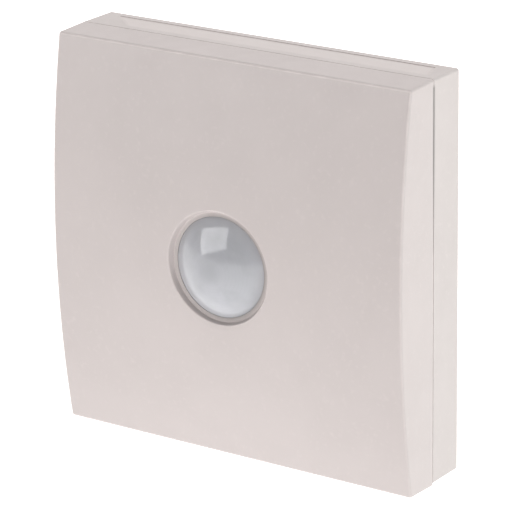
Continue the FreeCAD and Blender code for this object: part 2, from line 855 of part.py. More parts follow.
def tamper_switch():
    """A switch whose sprung plunger the cover's rib holds down while the cover is on."""
    x, z = tamper_x, tamper_z
    half = tamper_size / 2
    case = block("tamper_case", x - half, x + half, board_front, tamper_top, z - half, z + half)
    case = softened("tamper_soft", case, moulded_round, lambda edge: along((0, 1, 0), edge))
    floor = board_front + tamper_wall
    lid = tamper_top - tamper_wall
    chamber = rod("tamper_chamber", x, z, plunger_collar + plunger_clearance, floor, lid)
    mouth = rod("tamper_mouth", x, z, plunger_radius + plunger_clearance, lid, tamper_top)
    keep(cut("tamper_housing", case, [chamber, mouth]), "tamper_switch_body")

    collar_front = lid - plunger_travel - plunger_clearance
    collar_back = collar_front - collar_wall
    pieces = [
        rod("plunger_stem", x, z, plunger_radius, collar_back, plunger_tip),
        rod("plunger_ring", x, z, plunger_collar, collar_back, collar_front),
    ]
    keep(fused("plunger", pieces), "tamper_plunger")

    coil = doc.addObject("Part::Helix", "spring_path")
    length = collar_back - floor - spring_wire * 2
    bind(coil, "Radius", spring_radius)
    bind(coil, "Pitch", length / spring_turns)
    bind(coil, "Height", length)
    wire = doc.addObject("Part::Circle", "spring_section")
    bind(wire, "Radius", spring_wire)
    wire.Placement.Rotation = FreeCAD.Rotation(FreeCAD.Vector(1, 0, 0), 90)
    bind(wire, "Placement.Base.x", spring_radius)
    spring = doc.addObject("Part::Sweep", "spring")
    spring.Sections = [wire]
    doc.recompute()
    spring.Spine = (coil, ["Edge%d" % (i + 1) for i in range(len(coil.Shape.Edges))])
    spring.Solid = True
    spring.Frenet = True
    spring.Placement.Rotation = FreeCAD.Rotation(FreeCAD.Vector(1, 0, 0), 90)
    place(spring, x, floor + spring_wire, z)
    keep(spring, "tamper_spring")

    foot = tamper_size / 2 - pin_radius * 2
    spots = [(x + dx * foot, z + dz * foot) for dx in (-1, 1) for dz in (-1, 1)]
    group("tamper_pins", leads("tamper_pin", spots, pin_radius / 2, board_front))


# ---------------------------------------------------------------- relay

relay_width = cell("relay_width", 13)
relay_height = cell("relay_height", 8)
relay_body = cell("relay_body", 9.6)
relay_x = cell("relay_x", 12)
relay_drop = cell("relay_drop", 13.5)
relay_inset = cell("relay_inset", 1.4)
relay_pitch = cell("relay_pitch", 2.54)


def relay():
    """The sealed relay that switches the alarm contact."""
    x, z = -relay_x, board_high - relay_drop
    half_w = relay_width / 2
    half_h = relay_height / 2
    left, right = x - half_w, x + half_w
    top = board_front + relay_body
    case = block("relay_case", left, right, board_front, top, z - half_h, z + half_h)
    rear = -board_front.number - 0.01
    keep(softened("relay_soft", case, moulded_round, lambda edge: edge.BoundBox.YMin < rear), "relay")
    rows = (z - half_h + relay_inset, z + half_h - relay_inset)
    columns = [x - half_w + relay_inset + relay_pitch * i for i in (0, 2, 4)]
    spots = [(column, row) for column in columns for row in rows]
    group("relay_pins", leads("relay_pin", spots, pin_radius / 2, board_front))


# ---------------------------------------------------------------- terminal block

terminal_count = 6
terminal_pitch = cell("terminal_pitch", 5.08)
terminal_depth = cell("terminal_depth", 8.5)
terminal_body = cell("terminal_body", 10)
terminal_floor = cell("terminal_floor", 1.2)
wire_width = cell("wire_width", 3.8)
wire_height = cell("wire_height", 3.8)
wire_reach = cell("wire_reach", 6.4)
clamp_gap = cell("clamp_gap", 0.1)
clamp_wall = cell("clamp_wall", 0.6)
clamp_length = cell("clamp_length", 4)
clamp_inset = cell("clamp_inset", 1.6)
driver_radius = cell("driver_radius", 1.9)
terminal_screw = cell("terminal_screw", 1.1)
terminal_head = cell("terminal_head", 1.75)
terminal_head_height = cell("terminal_head_height", 1.5)
terminal_shank = cell("terminal_shank", 1.2)
driver_slot = cell("driver_slot", 0.6)
nose_chamfer = cell("nose_chamfer", 1.5)


def terminal_block():
    """A six-way screw terminal at the board's lower edge; its wires come in from below."""
    low = board_low
    high = board_low + terminal_depth
    top = board_front + terminal_body
    half = terminal_pitch * terminal_count / 2
    columns = [terminal_pitch * (i - (terminal_count - 1) / 2) for i in range(terminal_count)]
    floor = board_front + terminal_floor
    ceiling = floor + wire_height
    screw_z = low + clamp_inset + clamp_length / 2

    body = new_body("terminal_housing")
    plan = new_sketch(body, "terminal_plan", "XZ_Plane", board_front)
    rectangle(plan, -half, half, low, high)
    pad(body, plan, terminal_body)

    def nose(edge):
        box = edge.BoundBox
        return along((1, 0, 0), edge) and box.YMin < -top.number + 0.01 and box.ZMin < low.number + 0.01

    round_edges(body, nose_chamfer, nose, "Chamfer")
    mouths = new_sketch(body, "wire_mouths", "XY_Plane", low)
    drivers = new_sketch(body, "driver_holes", "XZ_Plane", top)
    feet = new_sketch(body, "pin_holes", "XZ_Plane", board_front)
    for x in columns:
        rectangle(mouths, x - wire_width / 2, x + wire_width / 2, -ceiling, -floor)
        circle(drivers, x, screw_z, driver_radius)
        circle(feet, x, screw_z, pin_radius + hole_gap)
    pocket(body, mouths, wire_reach, forward=True)
    pocket(body, drivers, top - ceiling)
    pocket(body, feet, terminal_floor, forward=True)

    clamps = []
    screws = []
    outer = wire_width / 2 - clamp_gap
    inner = outer - clamp_wall
    clamp_low = low + clamp_inset
    clamp_high = clamp_low + clamp_length
    clamp_back = floor + clamp_gap
    clamp_front = ceiling - clamp_gap
    throat_back = clamp_back + clamp_wall
    throat_front = clamp_front - clamp_wall
    head = ceiling + clamp_gap
    head_top = head + terminal_head_height
    slot_floor = head_top - terminal_head_height / 2
    slot_low = screw_z - driver_slot / 2
    slot_high = screw_z + driver_slot / 2
    for i, x in enumerate(columns):
        cage = block("cage_%d" % i, x - outer, x + outer, clamp_back, clamp_front, clamp_low, clamp_high)
        left, right = x - inner, x + inner
        throat = block("throat_%d" % i, left, right, throat_back, throat_front, clamp_low, clamp_high)
        tapping = terminal_screw + clamp_gap
        bore = rod("tapping_%d" % i, x, screw_z, tapping, throat_front, clamp_front)
        clamps.append(cut("clamp_%d" % i, cage, [throat, bore]))
        shank = rod("shank_%d" % i, x, screw_z, terminal_screw, head - terminal_shank, head)
        cap = rod("head_%d" % i, x, screw_z, terminal_head, head, head_top)
        left, right = x - terminal_head, x + terminal_head
        slot = block("slot_%d" % i, left, right, slot_floor, head_top, slot_low, slot_high)
        screws.append(cut("slotted_%d" % i, fused("screw_%d" % i, [shank, cap]), [slot]))
    group("terminal_clamps", clamps)
    group("terminal_screws", screws)
    spots = [(x, screw_z) for x in columns]
    group("terminal_pins", leads("terminal_pin", spots, pin_radius, clamp_back))


# ---------------------------------------------------------------- capacitors and varistor

can_cap_radius = cell("can_cap_radius", 3.15)
can_cap_height = cell("can_cap_height", 9)
can_cap_x = cell("can_cap_x", 1.5)
can_cap_drop = cell("can_cap_drop", 8)
small_cap_radius = cell("small_cap_radius", 2.5)
small_cap_height = cell("small_cap_height", 6.5)
small_cap_x = cell("small_cap_x", 3.2)
small_cap_drop = cell("small_cap_drop", 16)
cap_bead = cell("cap_bead", 0.25)
cap_foot = cell("cap_foot", 1.1)
cap_round = cell("cap_round", 0.3)
disc_round = cell("disc_round", 0.8)
cap_pitch = cell("cap_pitch", 2.5)
disc_radius = cell("disc_radius", 3.4)
disc_wall = cell("disc_wall", 3)
disc_x = cell("disc_x", 11)
disc_drop = cell("disc_drop", 5)
disc_lift = cell("disc_lift", 0.6)
thin_lead = cell("thin_lead", 0.25)


def electrolytic(name, x, z, radius, height):
    """A sleeved can with a crimp near its foot."""
    top = board_front + height
    can = rod(name + "_can", x, z, radius, board_front, top)
    crimp_back = board_front + cap_foot
    crimp_front = crimp_back + cap_bead * 3
    collar = rod(name + "_collar", x, z, radius + cap_bead, crimp_back, crimp_front)
    core = rod(name + "_core", x, z, radius - cap_bead, crimp_back, crimp_front)
    crimp = cut(name + "_crimp", collar, [core])
    crimped = cut(name + "_crimped", can, [crimp])
    rim = -top.number + 0.01
    keep(softened(name + "_soft", crimped, cap_round, lambda edge: edge.BoundBox.YMax < rim), name)
    return [(x - cap_pitch / 2, z), (x + cap_pitch / 2, z)]


def capacitors():
    high = board_high - can_cap_drop
    low = board_high - small_cap_drop
    spots = electrolytic("supply_capacitor", can_cap_x, high, can_cap_radius, can_cap_height)
    spots += electrolytic("filter_capacitor", small_cap_x, low, small_cap_radius, small_cap_height)
    group("capacitor_leads", leads("capacitor_lead", spots, thin_lead, board_front))


def varistor():
    """A disc that soaks up surges, standing on its two leads beside the supply."""
    depth = board_front + disc_lift + disc_radius
    disc_z = board_high - disc_drop
    low = disc_z - disc_wall / 2
    disc = upright("disc", disc_x, depth, disc_radius, low, low + disc_wall)
    keep(softened("disc_soft", disc, disc_round, lambda edge: len(edge.Vertexes) == 1), "surge_varistor")
    foot = board_front + disc_lift
    spots = [(disc_x - cap_pitch / 2, disc_z), (disc_x + cap_pitch / 2, disc_z)]
    group("varistor_leads", leads("varistor_lead", spots, thin_lead, foot))


# ---------------------------------------------------------------- chips and small parts

flat_body = cell("flat_body", 1.6)
flat_lift = cell("flat_lift", 0.15)
gull_width = cell("gull_width", 0.42)
gull_reach = cell("gull_reach", 1.05)
gull_bend = cell("gull_bend", 0.42)
dimple_inset = cell("dimple_inset", 0.9)
gull_wall = cell("gull_wall", 0.2)
gull_pitch = cell("gull_pitch", 1.27)
logic_width = cell("logic_width", 3.9)
logic_length = cell("logic_length", 8.7)
logic_x = cell("logic_x", 13.5)
logic_z = cell("logic_z", 9.5)
amp_length = cell("amp_length", 4.9)
amp_x = cell("amp_x", 1.5)
amp_z = cell("amp_z", 12)
diode_length = cell("diode_length", 4.3)
diode_width = cell("diode_width", 2.6)
diode_body = cell("diode_body", 2.1)
diode_row = cell("diode_row", 2.4)
diode_pitch = cell("diode_pitch", 6.5)
small_length = cell("small_length", 1.6)
small_width = cell("small_width", 0.8)
resistor_body = cell("resistor_body", 0.45)
ceramic_body = cell("ceramic_body", 0.8)
small_pitch = cell("small_pitch", 3.8)
ladder_x = cell("ladder_x", 20.6)
ladder_low = cell("ladder_low", 13)


def gull_chip(name, x, z, length, pairs):
    """A flat chip with bent leads down both sides."""
    half_w = logic_width / 2
    half_l = length / 2
    foot = board_front + flat_lift
    top = foot + flat_body
    slab = block(name + "_slab", x - half_w, x + half_w, foot, top, z - half_l, z + half_l)
    corner_x = x - half_w + dimple_inset
    corner_z = z + half_l - dimple_inset
    dimple = rod(name + "_dimple", corner_x, corner_z, small_width / 2, top - flat_lift, top)
    keep(cut(name + "_body", slab, [dimple]), name)
    shoulder = foot + flat_body / 2
    sole_top = board_front + gull_wall
    legs = []
    for i in range(pairs):
        low = z + gull_pitch * (i - (pairs - 1) / 2) - gull_width / 2
        high = low + gull_width
        for side in (-1, 1):
            near = x + side * half_w
            far = x + side * (half_w + gull_reach)
            bend = x + side * (half_w + gull_bend)
            knee = bend - side * gull_wall
            label = "%s_leg_%d_%d" % (name, i, side + 1)
            left, right = sorted((near, bend), key=lambda s: s.number)
            shelf = block(label + "_shelf", left, right, shoulder - gull_wall, shoulder, low, high)
            left, right = sorted((bend, knee), key=lambda s: s.number)
            shin = block(label + "_shin", left, right, board_front, shoulder, low, high)
            left, right = sorted((knee, far), key=lambda s: s.number)
            sole = block(label + "_sole", left, right, board_front, sole_top, low, high)
            legs.append(fused(label, [shelf, shin, sole]))
    return legs


def chips():
    legs = gull_chip("controller_chip", logic_x, logic_z, logic_length, 7)
    legs += gull_chip("amplifier_chip", amp_x, amp_z, amp_length, 4)
    group("chip_leads", legs)


def diodes():
    """Four rectifiers in a row above the terminals."""
    low = board_low + terminal_depth + diode_row - diode_width / 2
    high = low + diode_width
    top = board_front + diode_body
    bodies = []
    for i in range(4):
        left = diode_pitch * (i - 1.5) - diode_length / 2
        bodies.append(block("diode_%d" % i, left, left + diode_length, board_front, top, low, high))
    group("rectifier_diodes", bodies)


def small_parts():
    """Ladders of surface resistors and ceramic capacitors up both edges of the board."""
    resistors = []
    ceramics = []
    for i in range(9):
        low = -ladder_low + small_pitch * i - small_width / 2
        for side in (-1, 1):
            left = side * ladder_x - small_length / 2
            is_resistor = (i + side) % 3 != 0
            top = board_front + (resistor_body if is_resistor else ceramic_body)
            name = "small_%d_%d" % (i, side + 1)
            piece = block(name, left, left + small_length, board_front, top, low, low + small_width)
            (resistors if is_resistor else ceramics).append(piece)
    group("chip_resistors", resistors)
    group("chip_capacitors", ceramics)


# ---------------------------------------------------------------- board and its screws

def circuit_board():
    """The glass-fibre board, drilled for every lead and for its four screws."""
    body = new_body("circuit_board")
    sketch = new_sketch(body, "board_outline", "XZ_Plane", board_back)
    rectangle(sketch, board_left, board_right, board_low, board_high)
    for x, z in standoffs:
        circle(sketch, x, z, screw_radius + screw_clearance)
    for x, z, radius in board_holes:
        circle(sketch, x, z, radius)
    pad(body, sketch, board_wall)
    limit = board_width.number / 2 - 0.01

    def corner(edge):
        return along((0, 1, 0), edge) and abs(edge.BoundBox.XMin) > limit

    round_edges(body, board_corner, corner)


def board_screws():
    """Four self-tapping screws with domed cross heads."""
    screws = []
    head = board_front + screw_head_height
    tip = back_plate + screw_clearance
    sink = head - screw_head_height / 2
    half_bar = cross_width / 2

    def crown(edge):
        return edge.BoundBox.YMax < -head.number + 0.01

    for i, (x, z) in enumerate(standoffs):
        shank = rod("board_shank_%d" % i, x, z, screw_radius, tip, board_front)
        blank = rod("board_head_%d" % i, x, z, screw_head, board_front, head)
        cap = softened("board_cap_%d" % i, blank, screw_head_round, crown)
        left, right = x - cross_reach, x + cross_reach
        low, high = z - cross_reach, z + cross_reach
        cross = [
            block("cross_a_%d" % i, left, right, sink, head, z - half_bar, z + half_bar),
            block("cross_b_%d" % i, x - half_bar, x + half_bar, sink, head, low, high),
        ]
        screws.append(cut("board_screw_%d" % i, fused("board_blank_%d" % i, [shank, cap]), cross))
    group("board_screws", screws)


# ---------------------------------------------------------------- build, check and write

rear_housing()
front_cover()
fresnel_lens()
lens_retainer()
pyro_sensor()
walk_test_lamp()
trimmers()
mode_switch()
tamper_switch()
relay()
terminal_block()
capacitors()
varistor()
chips()
diodes()
small_parts()
board_screws()
circuit_board()

doc.recompute()
for thing in doc.Objects:
    if "Invalid" in thing.State or "Error" in thing.State:
        raise RuntimeError("%s failed: %s" % (thing.Label, thing.State))
os.makedirs("parts", exist_ok=True)
for thing in sub_parts:
    if thing.Shape.isNull() or not thing.Shape.isValid() or not thing.Shape.Solids:
        raise RuntimeError("%s has no valid solid" % thing.Label)
for thing in sub_parts:
    print("%-24s %2d solids %10.2f mm3" % (thing.Label, len(thing.Shape.Solids), thing.Shape.Volume))
    thing.Shape.exportStep("parts/%s.step" % thing.Label)
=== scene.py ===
import math
import random

import bmesh
import bpy
from mathutils import Matrix, Quaternion, Vector


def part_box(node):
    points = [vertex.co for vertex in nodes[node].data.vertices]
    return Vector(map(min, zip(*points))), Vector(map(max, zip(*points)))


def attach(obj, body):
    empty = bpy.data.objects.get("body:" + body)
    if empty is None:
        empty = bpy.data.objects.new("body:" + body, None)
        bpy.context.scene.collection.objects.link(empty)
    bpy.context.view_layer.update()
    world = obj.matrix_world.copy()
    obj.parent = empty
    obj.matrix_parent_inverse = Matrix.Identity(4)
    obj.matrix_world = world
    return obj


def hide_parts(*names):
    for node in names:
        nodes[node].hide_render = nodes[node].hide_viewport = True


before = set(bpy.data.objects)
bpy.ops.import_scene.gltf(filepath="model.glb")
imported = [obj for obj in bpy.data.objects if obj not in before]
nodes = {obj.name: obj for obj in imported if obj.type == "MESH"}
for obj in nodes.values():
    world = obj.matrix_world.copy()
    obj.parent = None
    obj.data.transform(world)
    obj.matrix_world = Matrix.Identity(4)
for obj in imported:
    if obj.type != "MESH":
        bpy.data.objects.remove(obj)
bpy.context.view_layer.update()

# A square wall-mounted motion sensor in warm off-white plastic, with a milky dome lens.
# Metres. The wall is at Y = 0, the face looks along -Y, and Z is up.


# ---------------------------------------------------------------- the view and the light
# The camera stands to the right of the lens axis and above it, rolled by under a degree.
# The studio is a pale paper floor, white walls, one softbox, a side panel and a low white card.

cover_low, cover_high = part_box("front_cover")
case_width = cover_high.x - cover_low.x

turn = math.radians(34.72)
lift = math.radians(18.80)
roll = math.radians(-0.89)
stand_widths = Vector((4.2094, -6.1870, 2.4998))
frame_raise = 0.00037
frame_left = 0.0002
back = Vector((math.sin(turn) * math.cos(lift), -math.cos(turn) * math.cos(lift), math.sin(lift)))
rightward = Vector((0, 0, 1)).cross(back).normalized()
upright = back.cross(rightward)
across = rightward * math.cos(roll) + upright * math.sin(roll)
above = upright * math.cos(roll) - rightward * math.sin(roll)

camera_data = bpy.data.cameras.new("camera")
camera_data.sensor_width = 36
camera_data.lens = 229.5
camera_data.clip_start = 0.01
camera_data.clip_end = 20
camera = bpy.data.objects.new("camera", camera_data)
stand = Matrix((across, above, back)).transposed().to_4x4()
stand.translation = stand_widths * case_width + above * frame_raise - across * frame_left
camera.matrix_world = stand
bpy.context.scene.collection.objects.link(camera)
bpy.context.scene.camera = camera
bpy.context.scene.view_settings.view_transform = "Standard"

floor_reach = 8.0
floor_drop = 0.3
floor_mesh = bpy.data.meshes.new("studio_floor")
floor_corners = [
    (x * floor_reach, y * floor_reach, cover_low.z - floor_drop)
    for x, y in ((-1, -1), (1, -1), (1, 1), (-1, 1))
]
floor_mesh.from_pydata(floor_corners, [], [(0, 1, 2, 3)])
floor = bpy.data.objects.new("studio_floor", floor_mesh)
bpy.context.scene.collection.objects.link(floor)
paper = bpy.data.materials.new("studio_paper")
paper.use_nodes = True
paper_shader = paper.node_tree.nodes["Principled BSDF"]
paper_shader.inputs["Base Color"].default_value = (0.9, 0.9, 0.9, 1)
paper_shader.inputs["Roughness"].default_value = 0.9
paper_shader.inputs["Emission Color"].default_value = (1, 0.99, 0.97, 1)
paper_shader.inputs["Emission Strength"].default_value = 0.735
floor_mesh.materials.append(paper)

world = bpy.data.worlds.new("studio")
bpy.context.scene.world = world
world.use_nodes = True
world_nodes = world.node_tree.nodes
world_links = world.node_tree.links
sky = world_nodes["Background"]
direction = world_nodes.new("ShaderNodeTexCoord")
slope = world_nodes.new("ShaderNodeVectorMath")
slope.operation = "DOT_PRODUCT"
slope.inputs[1].default_value = (-0.16, 0.66, -0.82)
base_light = world_nodes.new("ShaderNodeMath")
base_light.operation = "ADD"
base_light.inputs[1].default_value = 0.815
sides = world_nodes.new("ShaderNodeSeparateXYZ")
ceiling = world_nodes.new("ShaderNodeMath")
ceiling.operation = "MULTIPLY_ADD"
ceiling.use_clamp = True
ceiling.inputs[1].default_value = 1.85
ceiling.inputs[2].default_value = -0.58
overhead = world_nodes.new("ShaderNodeMath")
overhead.operation = "ADD"
tinge = world_nodes.new("ShaderNodeMix")
tinge.data_type = "RGBA"
tinge.inputs["A"].default_value = (1.0, 0.975, 0.965, 1)
tinge.inputs["B"].default_value = (0.93, 1.0, 0.99, 1)
world_links.new(direction.outputs["Generated"], slope.inputs[0])
world_links.new(direction.outputs["Generated"], sides.inputs["Vector"])
world_links.new(slope.outputs["Value"], base_light.inputs[0])
world_links.new(sides.outputs["Z"], ceiling.inputs[0])
world_links.new(base_light.outputs["Value"], overhead.inputs[0])
world_links.new(ceiling.outputs["Value"], overhead.inputs[1])
world_links.new(sides.outputs["X"], tinge.inputs["Factor"])
world_links.new(tinge.outputs["Result"], sky.inputs["Color"])
world_links.new(overhead.outputs["Value"], sky.inputs["Strength"])

softbox_data = bpy.data.lights.new("softbox", "AREA")
softbox_data.shape = "RECTANGLE"
softbox_data.size = 0.80
softbox_data.size_y = 0.54
softbox_data.energy = 6.0
softbox = bpy.data.objects.new("softbox", softbox_data)
softbox_way = Vector((-0.537, -0.760, 0.366)).normalized()
softbox_roll = Quaternion((0, 0, 1), math.radians(28))
softbox.location = softbox_way
softbox.rotation_euler = (softbox_way.to_track_quat("Z", "Y") @ softbox_roll).to_euler()
softbox.visible_diffuse = False
softbox.visible_camera = False
bpy.context.scene.collection.objects.link(softbox)

panel_data = bpy.data.lights.new("side_panel", "AREA")
panel_data.shape = "SQUARE"
panel_data.size = 0.6
panel_data.energy = 1.06
panel_data.color = (0.92, 1.0, 0.98)
panel = bpy.data.objects.new("side_panel", panel_data)
panel_way = Vector((0.98, 0.1, -0.15)).normalized()
panel.location = panel_way
panel.rotation_euler = panel_way.to_track_quat("Z", "Y").to_euler()
panel.visible_camera = False
bpy.context.scene.collection.objects.link(panel)

card_data = bpy.data.lights.new("low_card", "AREA")
card_data.shape = "SQUARE"
card_data.size = 0.12
card_data.energy = 0.06
card = bpy.data.objects.new("low_card", card_data)
card.location = (0.01, -0.20, -0.17)
card.rotation_euler = Vector(card.location).to_track_quat("Z", "Y").to_euler()
card.visible_camera = False
card.visible_glossy = False
bpy.context.scene.collection.objects.link(card)


# ---------------------------------------------------------------- front cover
# The moulded front shell, bowed both ways, snapped over the rear housing.
# Warm off-white ABS with a fine spark-eroded texture; its edges are drawn a little paler, partly as rubbed
# wear and partly as painted highlight.

class Finish:
    """A material whose colour, roughness and bump come from small patterns in real millimetres."""

    def __init__(self, name, colour, roughness, **shader):
        self.material = bpy.data.materials.new(name)
        self.material.use_nodes = True
        self.nodes = self.material.node_tree.nodes
        self.links = self.material.node_tree.links
        self.shader = self.nodes["Principled BSDF"]
        self.place = self.nodes.new("ShaderNodeTexCoord").outputs["Object"]
        self.colour = colour
        self.shader.inputs["Base Color"].default_value = (*colour, 1)
        self.shader.inputs["Roughness"].default_value = roughness
        for socket, value in shader.items():
            self.shader.inputs[socket.replace("_", " ")].default_value = value

    def node(self, kind, **settings):
        made = self.nodes.new("ShaderNode" + kind)
        for setting, value in settings.items():
            setattr(made, setting, value)
        return made

    def cloud(self, size_mm, detail=3.0, stretch=(1, 1, 1)):
        """A soft random pattern, 0 to 1, whose lumps are about size_mm across."""
        scaled = self.node("Mapping")
        scaled.inputs["Scale"].default_value = [1000 / size_mm * part for part in stretch]
        noise = self.node("TexNoise")
        noise.inputs["Scale"].default_value = 1
        noise.inputs["Detail"].default_value = detail
        self.links.new(self.place, scaled.inputs["Vector"])
        self.links.new(scaled.outputs["Vector"], noise.inputs["Vector"])
        return noise.outputs["Fac"]

    def ramp(self, source, low, high, first=0.0, second=1.0):
        """Stretch a pattern between low and high onto first to second."""
        stretched = self.node("MapRange", clamp=True)
        for socket, value in zip(("From Min", "From Max", "To Min", "To Max"), (low, high, first, second)):
            stretched.inputs[socket].default_value = value
        self.links.new(source, stretched.inputs["Value"])
        return stretched.outputs["Result"]

    def both(self, first, second, kind="MULTIPLY"):
        """Where both masks are high; the second may be a plain share."""
        joined = self.node("Math", operation=kind, use_clamp=True)
        for socket, value in zip(joined.inputs, (first, second)):
            if isinstance(value, float):
                socket.default_value = value
            else:
                self.links.new(value, socket)
        return joined.outputs["Value"]

    def either(self, first, second):
        """Where one mask or the other is high."""
        return self.both(first, second, "MAXIMUM")

    def edges(self, width_mm):
        """1 along convex and concave edges, 0 on open faces."""
        bevel = self.node("Bevel", samples=4)
        bevel.inputs["Radius"].default_value = width_mm / 1000
        flat = self.node("NewGeometry")
        dot = self.node("VectorMath", operation="DOT_PRODUCT")
        self.links.new(bevel.outputs["Normal"], dot.inputs[0])
        self.links.new(flat.outputs["Normal"], dot.inputs[1])
        return self.ramp(dot.outputs["Value"], 0.995, 0.90)

    def axis(self, name):
        """The object's own X, Y or Z in metres."""
        parts = self.node("SeparateXYZ")
        self.links.new(self.place, parts.inputs["Vector"])
        return parts.outputs[name]

    def off_lens_axis(self):
        """The distance from the lens's own axis, in metres."""
        flattened = self.node("Mapping")
        flattened.inputs["Scale"].default_value = (1, 0, 1)
        length = self.node("VectorMath", operation="LENGTH")
        self.links.new(self.place, flattened.inputs["Vector"])
        self.links.new(flattened.outputs["Vector"], length.inputs[0])
        return length.outputs["Value"]

    def tint(self, mask, colour):
        """Lay another colour over the present one wherever the mask is high."""
        mix = self.node("Mix", data_type="RGBA")
        present = self.shader.inputs["Base Color"]
        if present.is_linked:
            self.links.new(present.links[0].from_socket, mix.inputs["A"])
        else:
            mix.inputs["A"].default_value = present.default_value
        mix.inputs["B"].default_value = (*colour, 1)
        self.links.new(mask, mix.inputs["Factor"])
        self.links.new(mix.outputs["Result"], present)

    def shade(self, mask, amount):
        """Darken (below 1) or lighten (above 1) the base colour wherever the mask is high."""
        self.tint(mask, tuple(min(part * amount, 1) for part in self.colour))

    def gloss(self, mask, low, high):
        self.links.new(self.ramp(mask, 0.25, 0.75, low, high), self.shader.inputs["Roughness"])

    def bump(self, pattern, height_mm, strength=1.0):
        made = self.node("Bump")
        made.inputs["Strength"].default_value = strength
        made.inputs["Distance"].default_value = height_mm / 1000
        self.links.new(pattern, made.inputs["Height"])
        present = self.shader.inputs["Normal"]
        if present.is_linked:
            self.links.new(present.links[0].from_socket, made.inputs["Normal"])
        self.links.new(made.outputs["Normal"], present)

    def wear(self, *node_names):
        """Give this finish to carried-over parts."""
        for name in node_names:
            piece = nodes[name]
            piece.data.materials.clear()
            piece.data.materials.append(self.material)


def moulded(name, colour, roughness, grain_mm, grain_height_mm, edge_mm, **shader):
    """Injection-moulded plastic: faint flow mottling, a fine tool texture, and edges drawn paler, partly as
    rubbed wear and partly as painted highlight.
    """
    finish = Finish(name, colour, roughness, **shader)
    finish.shade(finish.ramp(finish.cloud(14), 0.35, 0.75), 0.965)
    finish.shade(finish.ramp(finish.cloud(1.1, 5), 0.56, 0.72), 1.02)
    if edge_mm:
        # Edges drawn paler: partly rubbed wear, partly painted highlight.
        worn_and_highlit = finish.both(finish.edges(edge_mm), finish.ramp(finish.cloud(2.4), 0.35, 0.65, 0.5, 1.0))
        finish.shade(worn_and_highlit, 1.24)
    finish.gloss(finish.cloud(3.5), roughness * 0.88, roughness * 1.12)
    finish.bump(finish.cloud(grain_mm, 2), grain_height_mm)
    return finish


case_colour = (0.628, 0.566, 0.557)
case_grain = 0.32
case_grain_height = 0.02
case_edge = 0.5
cover_finish = moulded("cover_plastic", case_colour, 0.46, case_grain, case_grain_height, case_edge)
cover_across = cover_finish.axis("X")
cover_depth = cover_finish.axis("Y")
cover_height = cover_finish.axis("Z")
from_axis = cover_finish.off_lens_axis()
facing = cover_finish.node("SeparateXYZ")
cover_finish.links.new(cover_finish.node("TexCoord").outputs["Normal"], facing.inputs["Vector"])

# Painted shade in the gap round the lens, heavier on the right.
gap_radius = 0.01075
lens_gap_shade_reach = 0.0009
lens_gap_shade_front = cover_low.y + 0.0004
lens_gap_shade_back = cover_low.y + 0.0012
beside_lens = cover_finish.ramp(from_axis, gap_radius + lens_gap_shade_reach, gap_radius)
sunk = cover_finish.ramp(cover_depth, lens_gap_shade_front, lens_gap_shade_back)
right_side = cover_finish.ramp(cover_across, -0.008, 0.002, 0.35, 1.0)
cover_finish.shade(cover_finish.both(cover_finish.both(beside_lens, sunk), right_side), 0.5)

# Painted highlight: the rounded rim of the face is drawn paler along its top, in soft patches.
off_the_face = cover_finish.ramp(facing.outputs["Y"], -0.97, -0.90)
off_the_side = cover_finish.ramp(facing.outputs["Y"], -0.45, -0.60)
turned_up = cover_finish.ramp(facing.outputs["Z"], -0.10, 0.25, 0.15, 1.0)
rim_highlight_patches = cover_finish.ramp(cover_finish.cloud(3.0), 0.35, 0.65, 0.6, 1.0)
on_the_rim = cover_finish.both(off_the_face, off_the_side)
cover_finish.shade(cover_finish.both(on_the_rim, cover_finish.both(turned_up, rim_highlight_patches)), 1.30)

# Painted shade in the recess, on what faces up and at its foot.
recess_shade_colour = (0.33, 0.295, 0.29)
recess_outer = 0.0135
recess_inner = 0.0128
shade_on_ledges = cover_finish.both(cover_finish.ramp(facing.outputs["Z"], 0.05, 0.6), 0.45)
shade_at_foot = cover_finish.both(cover_finish.ramp(cover_height, -0.001, -0.010), 0.16)
inside_rim = cover_finish.ramp(from_axis, recess_outer, recess_inner)
below_face = cover_finish.ramp(cover_depth, cover_low.y + 0.0001, cover_low.y + 0.0007)
in_recess = cover_finish.both(below_face, inside_rim)
recess_shaded = cover_finish.either(shade_on_ledges, shade_at_foot)
cover_finish.tint(cover_finish.both(recess_shaded, in_recess), recess_shade_colour)

seam_line = -0.00986
seam_reach = 0.0006
seam_core = 0.0001


def seam_shade(finish):
    """Painted shade along the seam of the two shells, on the upper part of their sides."""
    past = finish.node("Math", operation="ADD")
    past.inputs[1].default_value = -seam_line
    finish.links.new(finish.axis("Y"), past.inputs[0])
    distance = finish.node("Math", operation="ABSOLUTE")
    finish.links.new(past.outputs["Value"], distance.inputs[0])
    beside = finish.ramp(distance.outputs["Value"], seam_reach, seam_core)
    upper_part = finish.ramp(finish.axis("Z"), 0.006, 0.028)
    on_sides = finish.ramp(finish.axis("Z"), 0.0420, 0.0412)
    finish.shade(finish.both(finish.both(beside, upper_part), on_sides), 0.55)


# Painted shade along the seam.
seam_shade(cover_finish)
cover_finish.wear("front_cover")


# ---------------------------------------------------------------- rear housing
# The tray that screws to the wall, moulded in the same ABS as the cover.
# The long shallow relief on its top is drawn a little paler than the rest, as painted light.

housing_colour = (0.636, 0.580, 0.568)
relief_back = -0.0022
relief_front = -0.0078
relief_left = -0.0415
relief_right = 0.0381
relief_left_lean = 1.11
relief_right_lean = 0.31
relief_soft = 0.0008
housing_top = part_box("rear_housing")[1].z
housing_finish = moulded("housing_plastic", housing_colour, 0.5, case_grain, case_grain_height, case_edge)
housing_depth = housing_finish.axis("Y")
housing_across = housing_finish.axis("X")


def leaned(amount):
    """The place across the case, slid sideways with depth so that a relief's end slants."""
    slid = housing_finish.node("Math", operation="MULTIPLY_ADD")
    slid.inputs[1].default_value = amount
    housing_finish.links.new(housing_depth, slid.inputs[0])
    housing_finish.links.new(housing_across, slid.inputs[2])
    return slid.outputs["Value"]
